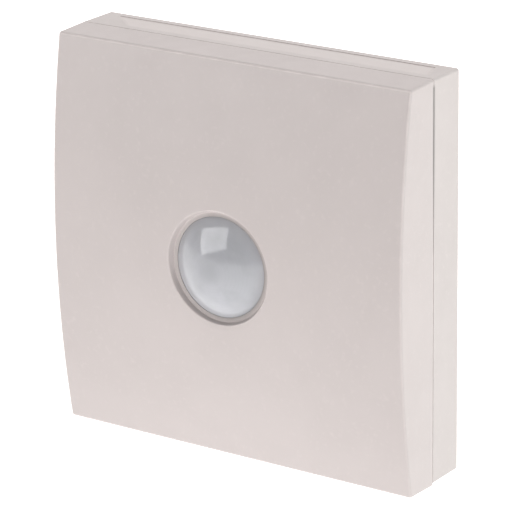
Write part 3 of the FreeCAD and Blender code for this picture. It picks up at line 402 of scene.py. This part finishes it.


# Painted light: the relief's band on the top is drawn paler.
on_top = housing_finish.ramp(housing_finish.axis("Z"), housing_top - 0.0008, housing_top - 0.0006)
before = housing_finish.ramp(housing_depth, relief_back + relief_soft, relief_back - relief_soft)
behind = housing_finish.ramp(housing_depth, relief_front - relief_soft, relief_front + relief_soft)
past_left = housing_finish.ramp(leaned(relief_left_lean), relief_left, relief_left + relief_soft)
short_of_right = housing_finish.ramp(leaned(relief_right_lean), relief_right, relief_right - relief_soft)
in_depth = housing_finish.both(behind, before)
in_width = housing_finish.both(past_left, short_of_right)
relief_painted_light = housing_finish.both(housing_finish.both(in_depth, in_width), on_top)
housing_finish.shade(relief_painted_light, 1.10)
# Painted shade along the seam, as on the cover.
seam_shade(housing_finish)
housing_finish.wear("rear_housing")


# ---------------------------------------------------------------- lens
# A thin dome of milky polyethylene that gathers the room's warmth onto the sensor.
# Moulded, with fine ridges inside; its flange is trapped behind the cover by the staked ring.

def spun(profile, steps, centre=(0, 0)):
    """A turned piece about an axis along Y: the profile is (radius, y) pairs in metres."""
    points = []
    faces = []
    rings = len(profile)
    for i in range(steps):
        angle = 2 * math.pi * i / steps
        for radius, y in profile:
            points.append((centre[0] + radius * math.cos(angle), y, centre[1] + radius * math.sin(angle)))
    for i in range(steps):
        here, there = i * rings, (i + 1) % steps * rings
        for k in range(rings - 1):
            if profile[k][0] == 0:
                faces.append((here, here + 1, there + 1))
            elif profile[k + 1][0] == 0:
                faces.append((here + k, here + k + 1, there + k))
            else:
                faces.append((here + k, here + k + 1, there + k + 1, there + k))
    return points, faces


def built(name, points, faces, finish, sharp_degrees=35):
    """Make one object from points and faces, welded, with its sharp edges kept sharp."""
    mesh = bpy.data.meshes.new(name)
    mesh.from_pydata(points, [], faces)
    work = bmesh.new()
    work.from_mesh(mesh)
    bmesh.ops.remove_doubles(work, verts=work.verts, dist=1e-7)
    bmesh.ops.recalc_face_normals(work, faces=work.faces)
    work.to_mesh(mesh)
    work.free()
    mesh.polygons.foreach_set("use_smooth", [True] * len(mesh.polygons))
    mesh.set_sharp_from_angle(angle=math.radians(sharp_degrees))
    mesh.materials.append(finish.material)
    made = bpy.data.objects.new(name, mesh)
    bpy.context.scene.collection.objects.link(made)
    return made


flange_low, flange_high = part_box("fresnel_lens")
lens_apex = flange_low.y
flange_radius = flange_high.x
flange_seat = flange_high.y
flange_wall = 0.0008
lens_radius = 0.0106
lens_rise = 0.0039
lens_wall = 0.0007
lens_steps = 120
lip_reach = 0.00011
lip_front = 0.00008
lip_back = 0.0003
lip_foot = 0.0004
ridge_pitch = 0.0007
ridge_height = 0.00016


def arc_profile(radius, rise, apex, steps):
    """Points of a shallow dome's section from its edge to its apex."""
    bend = (radius * radius + rise * rise) / (2 * rise)
    profile = []
    for i in range(steps + 1):
        r = radius * (1 - i / steps)
        profile.append((r, apex + bend - math.sqrt(bend * bend - r * r)))
    return profile


inner_radius = lens_radius - lens_wall
outside = list(reversed(arc_profile(lens_radius, lens_rise, lens_apex, 40)))
lens_foot = lens_apex + lens_rise
skirt = [
    (lens_radius + lip_reach, lens_foot + lip_front),
    (lens_radius + lip_reach, lens_foot + lip_back),
    (lens_radius, lens_foot + lip_foot),
    (lens_radius, flange_seat - flange_wall),
    (flange_radius, flange_seat - flange_wall),
    (flange_radius, flange_seat),
    (inner_radius, flange_seat),
]
inside = []
for radius, y in arc_profile(inner_radius, lens_rise - lens_wall, lens_apex + lens_wall, 56):
    ridge = ridge_height * ((radius % ridge_pitch) / ridge_pitch) if radius > ridge_pitch else 0
    inside.append((radius, y + ridge))

lens_milk = (0.545, 0.55, 0.588)
milk_depth = (0.0012, 0.0012, 0.0014)
lens_finish = Finish(
    "lens_plastic", lens_milk, 0.09, Transmission_Weight=0.10, IOR=1.51, Subsurface_Weight=0.25
)
lens_finish.shader.inputs["Subsurface Radius"].default_value = milk_depth
lens_finish.shader.inputs["Subsurface Scale"].default_value = 1.0
off_axis = lens_finish.off_lens_axis()
ridge_turns = lens_finish.node("Math", operation="MULTIPLY")
ridge_turns.inputs[1].default_value = 2 * math.pi / ridge_pitch
ripple = lens_finish.node("Math", operation="SINE")
lens_finish.links.new(off_axis, ridge_turns.inputs[0])
lens_finish.links.new(ridge_turns.outputs["Value"], ripple.inputs[0])
lens_finish.shade(lens_finish.ramp(ripple.outputs["Value"], 0.2, 1.0), 0.985)
lens_finish.shade(lens_finish.ramp(lens_finish.cloud(4, 2), 0.45, 0.75), 0.9)
# Painted shade: the middle of the dome is drawn darker, where the dark sensor behind it shows through.
lens_finish.shade(lens_finish.ramp(off_axis, 0.0030, 0.0006), 0.88)
# Painted light and shade: the dome's edge is drawn darker toward the lower left and paler toward the upper
# right.
lit_edge_way = (0.7, 0, 0.7)
slant = lens_finish.node("VectorMath", operation="DOT_PRODUCT")
slant.inputs[1].default_value = lit_edge_way
lens_finish.links.new(lens_finish.place, slant.inputs[0])
painted_shade_side = lens_finish.ramp(slant.outputs["Value"], 0.003, -0.008)
painted_light_side = lens_finish.ramp(slant.outputs["Value"], 0.001, 0.009)
near_edge = lens_finish.ramp(off_axis, lens_radius * 0.68, lens_radius * 0.97)
lens_finish.shade(lens_finish.both(near_edge, painted_shade_side), 0.97)
lens_finish.shade(lens_finish.both(near_edge, painted_light_side), 1.10)
lens_finish.gloss(lens_finish.cloud(4), 0.07, 0.13)
lens_finish.bump(lens_finish.cloud(0.9, 2), 0.004)
lens = built("lens_dome", *spun(outside + skirt + inside, lens_steps), lens_finish)
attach(lens, "cover")
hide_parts("fresnel_lens")


# ---------------------------------------------------------------- lens ring
# The dark acetal ring behind the lens flange, held by three melted stakes of the cover.
# Slightly glossy, with faint turning marks from its mould insert.

ring_finish = moulded("ring_plastic", (0.055, 0.055, 0.06), 0.38, 0.25, 0.012, 0.25)
ring_finish.bump(ring_finish.cloud(0.5, 1, (1, 8, 1)), 0.006)
ring_finish.wear("lens_retainer")


# ---------------------------------------------------------------- sensor can
# A plated steel can with a dark infrared filter, standing on a spacer above the board.
# The two sensing chips sit behind the filter; the three wires go down through the board.

spacer_finish = moulded("spacer_plastic", (0.80, 0.79, 0.74), 0.5, 0.3, 0.01, 0.2)
spacer_finish.wear("pyro_spacer")


def metal(name, colour, roughness, brushed_mm, stretch, tarnish):
    """Bare or plated metal: fine brushing one way and patches of tarnish."""
    finish = Finish(name, colour, roughness, Metallic=1.0)
    finish.tint(finish.ramp(finish.cloud(1.6, 4), 0.5, 0.8), tarnish)
    finish.shade(finish.ramp(finish.cloud(0.4, 5), 0.6, 0.8), 0.82)
    finish.gloss(finish.cloud(brushed_mm, 2, stretch), roughness * 0.75, roughness * 1.3)
    finish.bump(finish.cloud(brushed_mm, 2, stretch), 0.004)
    return finish


can_finish = metal("can_nickel", (0.74, 0.72, 0.68), 0.24, 0.12, (1, 6, 1), (0.60, 0.56, 0.50))
can_finish.wear("pyro_can", "pyro_header")
filter_finish = Finish("filter_glass", (0.035, 0.03, 0.045), 0.12, Coat_Weight=0.6, Coat_Roughness=0.05)
filter_finish.tint(filter_finish.ramp(filter_finish.cloud(2.2), 0.45, 0.7), (0.06, 0.035, 0.075))
filter_finish.gloss(filter_finish.cloud(0.8), 0.08, 0.17)
filter_finish.bump(filter_finish.cloud(0.6, 1), 0.002)
filter_finish.wear("pyro_window")
ceramic_finish = Finish("sensing_ceramic", (0.45, 0.40, 0.30), 0.5)
ceramic_finish.tint(ceramic_finish.ramp(ceramic_finish.cloud(0.3, 4), 0.45, 0.65), (0.30, 0.27, 0.22))
ceramic_finish.gloss(ceramic_finish.cloud(0.4), 0.4, 0.6)
ceramic_finish.bump(ceramic_finish.cloud(0.1, 3), 0.004)
ceramic_finish.wear("pyro_elements")
wire_finish = metal("tinned_wire", (0.78, 0.77, 0.74), 0.30, 0.1, (1, 0.2, 1), (0.62, 0.60, 0.56))
wire_finish.wear(
    "pyro_leads",
    "led_leads",
    "trimmer_pins",
    "mode_switch_pins",
    "tamper_pins",
    "relay_pins",
    "terminal_pins",
    "capacitor_leads",
    "varistor_leads",
    "chip_leads",
)


# ---------------------------------------------------------------- walk-test lamp
# A three millimetre red lamp of cloudy resin under the sensor can.
# Cast, so it is glossy with a few flow streaks.

lamp_finish = Finish("lamp_resin", (0.62, 0.03, 0.025), 0.18, Transmission_Weight=0.35, Coat_Weight=0.3)
lamp_finish.shade(lamp_finish.ramp(lamp_finish.cloud(0.9, 2, (1, 0.3, 1)), 0.4, 0.7), 0.75)
lamp_finish.gloss(lamp_finish.cloud(0.7), 0.12, 0.24)
lamp_finish.bump(lamp_finish.cloud(0.5, 1), 0.003)
lamp_finish.wear("walk_test_led")


# ---------------------------------------------------------------- trimmers
# Two preset resistors for range and time: a blue moulded body and a white slotted rotor.
# The rotors' slots are scuffed grey where a screwdriver has turned them.

trimmer_finish = moulded("trimmer_plastic", (0.035, 0.13, 0.42), 0.36, 0.2, 0.01, 0.3)
trimmer_finish.wear("range_trimmer_body", "time_trimmer_body")
rotor_finish = moulded("rotor_plastic", (0.80, 0.79, 0.74), 0.42, 0.2, 0.01, 0)
scuffed = rotor_finish.both(rotor_finish.edges(0.25), rotor_finish.ramp(rotor_finish.cloud(0.6), 0.45, 0.6))
rotor_finish.tint(scuffed, (0.42, 0.41, 0.39))
rotor_finish.wear("range_trimmer_rotor", "time_trimmer_rotor")


# ---------------------------------------------------------------- mode switch
# A three-way miniature slide switch: a red moulded body, paler at its corners, with white sliders.
# The sliders run in open tracks and are a shade yellower with age.

switch_finish = moulded("switch_plastic", (0.42, 0.035, 0.03), 0.4, 0.22, 0.012, 0.3)
switch_finish.wear("mode_switch_body")
slider_finish = moulded("slider_plastic", (0.82, 0.80, 0.72), 0.38, 0.18, 0.008, 0.15)
slider_finish.wear("mode_slider_1", "mode_slider_2", "mode_slider_3")


# ---------------------------------------------------------------- tamper switch
# A small sprung switch under the cover's rib: a black body, a cream plunger and a steel spring.
# The plunger's tip is marked by the rib that presses it.

tamper_finish = moulded("tamper_plastic", (0.028, 0.028, 0.03), 0.42, 0.22, 0.012, 0.3)
tamper_finish.wear("tamper_switch_body")
plunger_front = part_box("tamper_plunger")[0].y
plunger_finish = moulded("plunger_plastic", (0.78, 0.74, 0.62), 0.45, 0.2, 0.01, 0.2)
tip = plunger_finish.ramp(plunger_finish.axis("Y"), plunger_front + 0.0004, plunger_front + 0.0001)
plunger_finish.tint(plunger_finish.both(tip, plunger_finish.cloud(0.8)), (0.62, 0.57, 0.46))
plunger_finish.wear("tamper_plunger")
spring_finish = metal("spring_steel", (0.56, 0.55, 0.54), 0.28, 0.08, (1, 1, 1), (0.40, 0.37, 0.33))
spring_finish.wear("tamper_spring")


# ---------------------------------------------------------------- relay
# The sealed relay that opens the alarm contact: a plain moulded box set down on the board.
# It is satin all over, with its corners a little paler, partly as rubbed wear and partly as painted
# highlight.

relay_finish = moulded("relay_plastic", (0.62, 0.60, 0.55), 0.36, 0.3, 0.014, 0.35)
relay_finish.wear("relay")


# ---------------------------------------------------------------- terminal block
# Six screw terminals for the alarm cable, in a green nylon housing with brass cages.
# The nylon is waxy; the brass and the plated screws have tarnished in patches.

terminal_finish = moulded("terminal_plastic", (0.035, 0.26, 0.105), 0.38, 0.26, 0.012, 0.35)
terminal_finish.wear("terminal_housing")
clamp_finish = metal("clamp_brass", (0.72, 0.58, 0.34), 0.3, 0.15, (1, 1, 6), (0.50, 0.38, 0.22))
clamp_finish.wear("terminal_clamps")
screw_finish = metal("screw_steel", (0.66, 0.66, 0.65), 0.27, 0.12, (6, 1, 1), (0.50, 0.47, 0.40))
screw_finish.wear("board_screws", "terminal_screws")


# ---------------------------------------------------------------- capacitors
# Two electrolytic cans in shrunk black sleeves with a pale polarity stripe down one side.
# The bare aluminium top of each shows inside the sleeve's rolled edge, scored with a vent cross.

capacitors = ("supply_capacitor", "filter_capacitor")
stripe_colour = (0.62, 0.63, 0.62)
stripe_past = 0.0002
stripe_soft = 0.0001
sleeve_finish = Finish("sleeve_plastic", (0.03, 0.035, 0.05), 0.3)
sleeve_finish.shade(sleeve_finish.ramp(sleeve_finish.cloud(2.0, 4), 0.45, 0.7), 1.6)
sleeve_across = sleeve_finish.axis("X")
sleeve_height = sleeve_finish.axis("Z")
for name in capacitors:
    low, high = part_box(name)
    radius = (high.x - low.x) / 2
    left_edge = sleeve_finish.ramp(sleeve_across, low.x + radius * 0.34, low.x + radius * 0.30)
    own_side = sleeve_finish.ramp(sleeve_across, low.x - stripe_past, low.x - stripe_soft)
    above_foot = sleeve_finish.ramp(sleeve_height, low.z - stripe_past, low.z - stripe_soft)
    below_head = sleeve_finish.ramp(sleeve_height, high.z + stripe_past, high.z + stripe_soft)
    in_height = sleeve_finish.both(above_foot, below_head)
    stripe = sleeve_finish.both(sleeve_finish.both(left_edge, own_side), in_height)
    sleeve_finish.tint(stripe, stripe_colour)
sleeve_finish.gloss(sleeve_finish.cloud(1.4), 0.22, 0.36)
sleeve_finish.bump(sleeve_finish.cloud(0.7, 3), 0.015)
sleeve_finish.wear(*capacitors)

sleeve_roll = 0.0006
plate_proud = 0.00006
plate_edge = 0.00002
plate_sunk = 0.0002
vent_proud = 0.00011
vent_half = 0.00009
vent_reach = 0.72
vent_taper = 0.96
top_finish = metal("can_top", (0.80, 0.80, 0.80), 0.34, 0.2, (1, 1, 1), (0.68, 0.68, 0.68))
for name in capacitors:
    low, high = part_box(name)
    middle = (low + high) / 2
    radius = (high.x - low.x) / 2 - sleeve_roll
    front = low.y
    plate = [
        (0, front - plate_proud),
        (radius * 0.9, front - plate_proud),
        (radius, front + plate_edge),
        (radius, front + plate_sunk),
        (0, front + plate_sunk),
    ]
    points, faces = spun(plate, 40, (middle.x, middle.z))
    vent_length = radius * vent_reach
    for wide, tall in ((vent_half, vent_length), (vent_length, vent_half)):
        first = len(points)
        corners = [(-wide, -tall), (wide, -tall), (wide, tall), (-wide, tall)]
        points += [(middle.x + x, front - plate_proud, middle.z + z) for x, z in corners]
        points += [
            (middle.x + x * vent_taper, front - vent_proud, middle.z + z * vent_taper) for x, z in corners
        ]
        faces.append((first + 4, first + 5, first + 6, first + 7))
        faces.append((first + 3, first + 2, first + 1, first))
        for k in range(4):
            following = (k + 1) % 4
            faces.append((first + k, first + following, first + 4 + following, first + 4 + k))
    disc = built(name + "_top", points, faces, top_finish)
    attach(disc, "base")


# ---------------------------------------------------------------- varistor
# A surge-absorbing disc dipped in lacquer, thick and uneven where the dip ran to its leads.
# Glossy, with a fine orange-peel surface.

varistor_finish = Finish("varistor_resin", (0.62, 0.22, 0.045), 0.28, Coat_Weight=0.4, Coat_Roughness=0.15)
varistor_finish.shade(varistor_finish.ramp(varistor_finish.cloud(1.5, 3), 0.4, 0.7), 0.8)
varistor_finish.gloss(varistor_finish.cloud(1.1), 0.2, 0.38)
varistor_finish.bump(varistor_finish.cloud(0.55, 2), 0.05)
varistor_finish.wear("surge_varistor")


# ---------------------------------------------------------------- chips and diodes
# Black moulded packages with tinned leads: two flat chips and four rectifiers.
# Matt from the mould, with their edges a shade paler; the rectifiers' flat leads fold under them.

chip_finish = moulded("chip_resin", (0.025, 0.025, 0.027), 0.5, 0.12, 0.008, 0.12)
chip_finish.wear("controller_chip", "amplifier_chip", "rectifier_diodes")


def separate(node):
    """The boxes of a node's separate solids, as (lowest corner, highest corner)."""
    mesh = nodes[node].data
    keys = [tuple(round(part * 1e6) for part in vertex.co) for vertex in mesh.vertices]
    leader = {key: key for key in keys}

    def root(key):
        while leader[key] != key:
            key = leader[key]
        return key

    for edge in mesh.edges:
        here, there = (root(keys[index]) for index in edge.vertices)
        leader[here] = there
    solids = {}
    for key in set(keys):
        solids.setdefault(root(key), []).append(key)
    boxes = []
    for members in solids.values():
        low = Vector([min(member[axis] for member in members) / 1e6 for axis in range(3)])
        high = Vector([max(member[axis] for member in members) / 1e6 for axis in range(3)])
        boxes.append((low, high))
    return sorted(boxes, key=lambda box: (round(box[0].x, 5), round(box[0].z, 5)))


def slab(points, faces, low, high, ease):
    """Add a box with its front edges eased off."""
    first = len(points)
    for y, inset in ((high.y, 0), (low.y + ease, 0), (low.y, ease)):
        left, right = low.x + inset, high.x - inset
        foot, head = low.z + inset, high.z - inset
        points += [(left, y, foot), (right, y, foot), (right, y, head), (left, y, head)]
    faces.append(tuple(first + k for k in (3, 2, 1, 0)))
    faces.append(tuple(first + k for k in (8, 9, 10, 11)))
    for layer in (first, first + 4):
        for k in range(4):
            following = (k + 1) % 4
            faces.append((layer + k, layer + following, layer + 4 + following, layer + 4 + k))


tab_points = []
tab_faces = []
tab_reach = 0.0009
tab_half = 0.00072
tab_thick = 0.00022
tab_ease = tab_thick * 0.3
tab_drop = 0.0009
for low, high in separate("rectifier_diodes"):
    middle_z = (low.z + high.z) / 2
    foot, head = middle_z - tab_half, middle_z + tab_half
    for end, way in ((low.x, -1), (high.x, 1)):
        for reach, front in ((tab_reach, high.y - tab_thick), (tab_thick, low.y + tab_drop)):
            near, far = sorted((end, end + way * reach))
            slab(tab_points, tab_faces, Vector((near, front, foot)), Vector((far, high.y, head)), tab_ease)
tabs = built("diode_tabs", tab_points, tab_faces, wire_finish)
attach(tabs, "base")


# ---------------------------------------------------------------- small surface parts
# Film resistors and ceramic capacitors in two ladders, each with a tinned cap at both ends.
# The resistors' film is glossy black and the ceramic is a matt tan.

film_finish = Finish("resistor_film", (0.03, 0.03, 0.035), 0.25)
film_finish.tint(film_finish.ramp(film_finish.cloud(0.25, 4), 0.5, 0.7), (0.07, 0.07, 0.08))
film_finish.gloss(film_finish.cloud(0.5), 0.18, 0.34)
film_finish.bump(film_finish.cloud(0.12, 3), 0.006)
film_finish.wear("chip_resistors")
tan_finish = Finish("capacitor_ceramic", (0.50, 0.36, 0.22), 0.55)
tan_finish.tint(tan_finish.ramp(tan_finish.cloud(0.3, 4), 0.45, 0.7), (0.42, 0.29, 0.17))
tan_finish.gloss(tan_finish.cloud(0.4), 0.45, 0.65)
tan_finish.bump(tan_finish.cloud(0.15, 3), 0.006)
tan_finish.wear("chip_capacitors")
cap_points = []
cap_faces = []
cap_length = 0.00034
cap_skin = 0.00003
cap_ease = 0.00008
for name in ("chip_resistors", "chip_capacitors"):
    for low, high in separate(name):
        for end, way in ((low.x, 1), (high.x, -1)):
            near, far = sorted((end - way * cap_skin, end + way * cap_length))
            cap_low = Vector((near, low.y - cap_skin, low.z - cap_skin))
            cap_high = Vector((far, high.y, high.z + cap_skin))
            slab(cap_points, cap_faces, cap_low, cap_high, cap_ease)
end_caps = built("part_end_caps", cap_points, cap_faces, wire_finish)
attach(end_caps, "base")


# ---------------------------------------------------------------- circuit board
# Glass-fibre laminate under a green solder mask, with the weave just showing at its edges.
# Copper tracks stand up under the mask, and white ink outlines mark where each part sits.

board_low, board_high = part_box("circuit_board")
board_front = board_low.y
board_back = board_high.y
mask_finish = Finish("board_laminate", (0.018, 0.125, 0.055), 0.32, Coat_Weight=0.35, Coat_Roughness=0.12)
mask_finish.shade(mask_finish.ramp(mask_finish.cloud(7, 3), 0.35, 0.7), 0.82)
weave = mask_finish.both(
    mask_finish.ramp(mask_finish.cloud(0.5, 1, (1, 1, 0.12)), 0.45, 0.65),
    mask_finish.ramp(mask_finish.cloud(0.5, 1, (0.12, 1, 1)), 0.45, 0.65),
)
mask_finish.shade(weave, 1.35)
bare_glass = (0.42, 0.40, 0.22)
board_facing = mask_finish.node("SeparateXYZ")
mask_finish.links.new(mask_finish.node("NewGeometry").outputs["Normal"], board_facing.inputs["Vector"])
flatness = mask_finish.node("Math", operation="ABSOLUTE")
mask_finish.links.new(board_facing.outputs["Y"], flatness.inputs[0])
mask_finish.tint(mask_finish.ramp(flatness.outputs["Value"], 0.6, 0.4), bare_glass)
mask_finish.gloss(mask_finish.cloud(2.5), 0.26, 0.40)
mask_finish.bump(mask_finish.cloud(0.6, 2), 0.010)
mask_finish.wear("circuit_board")

leads_through = (
    "pyro_leads",
    "led_leads",
    "trimmer_pins",
    "mode_switch_pins",
    "tamper_pins",
    "relay_pins",
    "terminal_pins",
    "capacitor_leads",
    "varistor_leads",
)
lands = []
for name in leads_through:
    for low, high in separate(name):
        lands.append((Vector(((low.x + high.x) / 2, (low.z + high.z) / 2)), (high.x - low.x) / 2))


def gather(all_points, all_faces, points, faces):
    """Add one small shape to a larger object."""
    all_faces += [tuple(len(all_points) + corner for corner in face) for face in faces]
    all_points += points


pad_border = 0.0004
pad_rise = 0.00007
solder_spread = 1.05
solder_height = 0.0008
solder_steps = 8
lead_steps = 20
pad_points = []
pad_faces = []
solder_points = []
solder_faces = []
for land, radius in lands:
    pad = radius + pad_border
    land_ring = [
        (radius, board_front),
        (radius, board_front - pad_rise),
        (pad, board_front - pad_rise),
        (pad, board_front),
        (radius, board_front),
    ]
    gather(pad_points, pad_faces, *spun(land_ring, lead_steps, land))
    blob = [(radius, board_back), (pad * solder_spread, board_back)]
    for step in range(1, solder_steps):
        share = step / solder_steps
        width = (pad * solder_spread - radius) * (1 - share) ** 2
        blob.append((radius + width, board_back + solder_height * share))
    blob.append((radius, board_back + solder_height))
    blob.append((radius, board_back))
    gather(solder_points, solder_faces, *spun(blob, lead_steps, land))
solder_finish = metal("solder", (0.72, 0.72, 0.71), 0.22, 0.3, (1, 1, 1), (0.55, 0.54, 0.52))
solder = built("solder_joints", solder_points, solder_faces, solder_finish)
pads = built("tinned_pads", pad_points, pad_faces, solder_finish)

track_finish = Finish("board_tracks", (0.035, 0.21, 0.085), 0.3, Coat_Weight=0.35, Coat_Roughness=0.12)
track_finish.shade(track_finish.ramp(track_finish.cloud(3, 3), 0.4, 0.7), 0.85)
track_finish.gloss(track_finish.cloud(1.5), 0.24, 0.38)
track_finish.bump(track_finish.cloud(0.4, 2), 0.006)
track_points = []
track_faces = []
track_width = 0.0005
track_rise = 0.00004
track_taper = 0.8


def track(route, face_y, outward):
    """A strip of copper along a route, mitred at its bends, with sloped sides."""
    first = len(track_points)
    ways = [(there - here).normalized() for here, there in zip(route, route[1:])]
    for spot, before, after in zip(route, ways[:1] + ways, ways + ways[-1:]):
        side = (before + after).orthogonal().normalized()
        side *= track_width / 2 / side.dot(after.orthogonal())
        for y, share in ((face_y, 1.0), (face_y + outward * track_rise, track_taper)):
            for hand in (-1, 1):
                corner = spot + side * hand * share
                track_points.append((corner.x, y, corner.y))
    last = len(track_points) - 4
    for k in range(first, last, 4):
        track_faces.append((k + 2, k + 3, k + 7, k + 6))
        track_faces.append((k, k + 2, k + 6, k + 4))
        track_faces.append((k + 1, k + 5, k + 7, k + 3))
        track_faces.append((k, k + 4, k + 5, k + 1))
    for k in (first, last):
        track_faces.append((k, k + 1, k + 3, k + 2))


def squares(route):
    """The squares of the layout grid that a route and its clearance pass over."""
    found = set()
    for here, there in zip(route, route[1:]):
        steps = math.ceil((there - here).length / (layout_grid / 2))
        for i in range(steps + 1):
            spot = here.lerp(there, i / steps) / layout_grid
            found.add((round(spot.x), round(spot.y)))
    return found


def around(spot, radius):
    """The squares of the layout grid inside a circle."""
    reach = math.ceil(radius / layout_grid)
    middle = (round(spot.x / layout_grid), round(spot.y / layout_grid))
    steps = range(-reach, reach + 1)
    return {(middle[0] + i, middle[1] + k) for i in steps for k in steps if math.hypot(i, k) <= reach}


layout_grid = 0.0006
lane_pitch = 0.00127
edge_margin = 0.0025
pad_clearance = 0.0011
screw_clearance = 0.0036
routes_tried = 900
chooser = random.Random(4)
joined = [land for land, _ in lands]
for face_y, outward, count in ((board_front, -1, 26), (board_back, 1, 44)):
    taken = set()
    for land in joined:
        taken |= around(land, pad_clearance)
    for low, high in separate("board_screws"):
        taken |= around(Vector(((low.x + high.x) / 2, (low.z + high.z) / 2)), screw_clearance)
    laid = 0
    for _ in range(routes_tried):
        start, end = chooser.sample(joined, 2)
        lane = round((start.x + end.x) / 2 / lane_pitch) * lane_pitch
        lane = min(max(lane, board_low.x + edge_margin), board_high.x - edge_margin)
        bend = min(abs(lane - start.x), abs(end.y - start.y) / 2)
        step = math.copysign(bend, end.y - start.y)
        route = [start]
        for spot in (Vector((lane, start.y + step)), Vector((lane, end.y - step)), end):
            if (spot - route[-1]).length > track_width:
                route.append(spot)
        crossed = squares(route) - around(start, pad_clearance) - around(end, pad_clearance)
        if laid == count or len(route) < 2 or crossed & taken:
            continue
        track(route, face_y, outward)
        for i, k in crossed:
            taken |= {(i + di, k + dk) for di in (-1, 0, 1) for dk in (-1, 0, 1)}
        laid += 1
tracks = built("board_tracks", track_points, track_faces, track_finish, 60)

ink_finish = Finish("white_ink", (0.78, 0.79, 0.76), 0.6)
ink_finish.shade(ink_finish.ramp(ink_finish.cloud(0.5, 4), 0.5, 0.75), 0.85)
ink_finish.gloss(ink_finish.cloud(0.8), 0.5, 0.7)
ink_finish.bump(ink_finish.cloud(0.2, 3), 0.004)
ink_points = []
ink_faces = []
ink_width = 0.00018
ink_gap = 0.0004
ink_rise = 0.00006
ink_ease = 0.00002
outlined = (
    "relay",
    "range_trimmer_body",
    "time_trimmer_body",
    "mode_switch_body",
    "tamper_switch_body",
    "terminal_housing",
    "controller_chip",
    "amplifier_chip",
)
for name in outlined:
    low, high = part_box(name)
    left, right = low.x - ink_gap, high.x + ink_gap
    foot, head = max(low.z - ink_gap, board_low.z + ink_width), high.z + ink_gap
    half = ink_width / 2
    bars = [
        (left, right, foot - half, foot + half),
        (left, right, head - half, head + half),
        (left - half, left + half, foot, head),
        (right - half, right + half, foot, head),
    ]
    for x0, x1, z0, z1 in bars:
        bar_low = Vector((x0, board_front - ink_rise, z0))
        bar_high = Vector((x1, board_front, z1))
        slab(ink_points, ink_faces, bar_low, bar_high, ink_ease)
for name in ("pyro_header", *capacitors):
    low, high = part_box(name)
    middle = (low + high) / 2
    radius = (high.x - low.x) / 2 + ink_gap
    ring = [
        (radius, board_front),
        (radius, board_front - ink_rise),
        (radius + ink_width, board_front - ink_rise),
        (radius + ink_width, board_front),
        (radius, board_front),
    ]
    gather(ink_points, ink_faces, *spun(ring, 48, (middle.x, middle.z)))
ink = built("ink_outlines", ink_points, ink_faces, ink_finish)

for piece in (solder, pads, tracks, ink):
    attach(piece, "base")
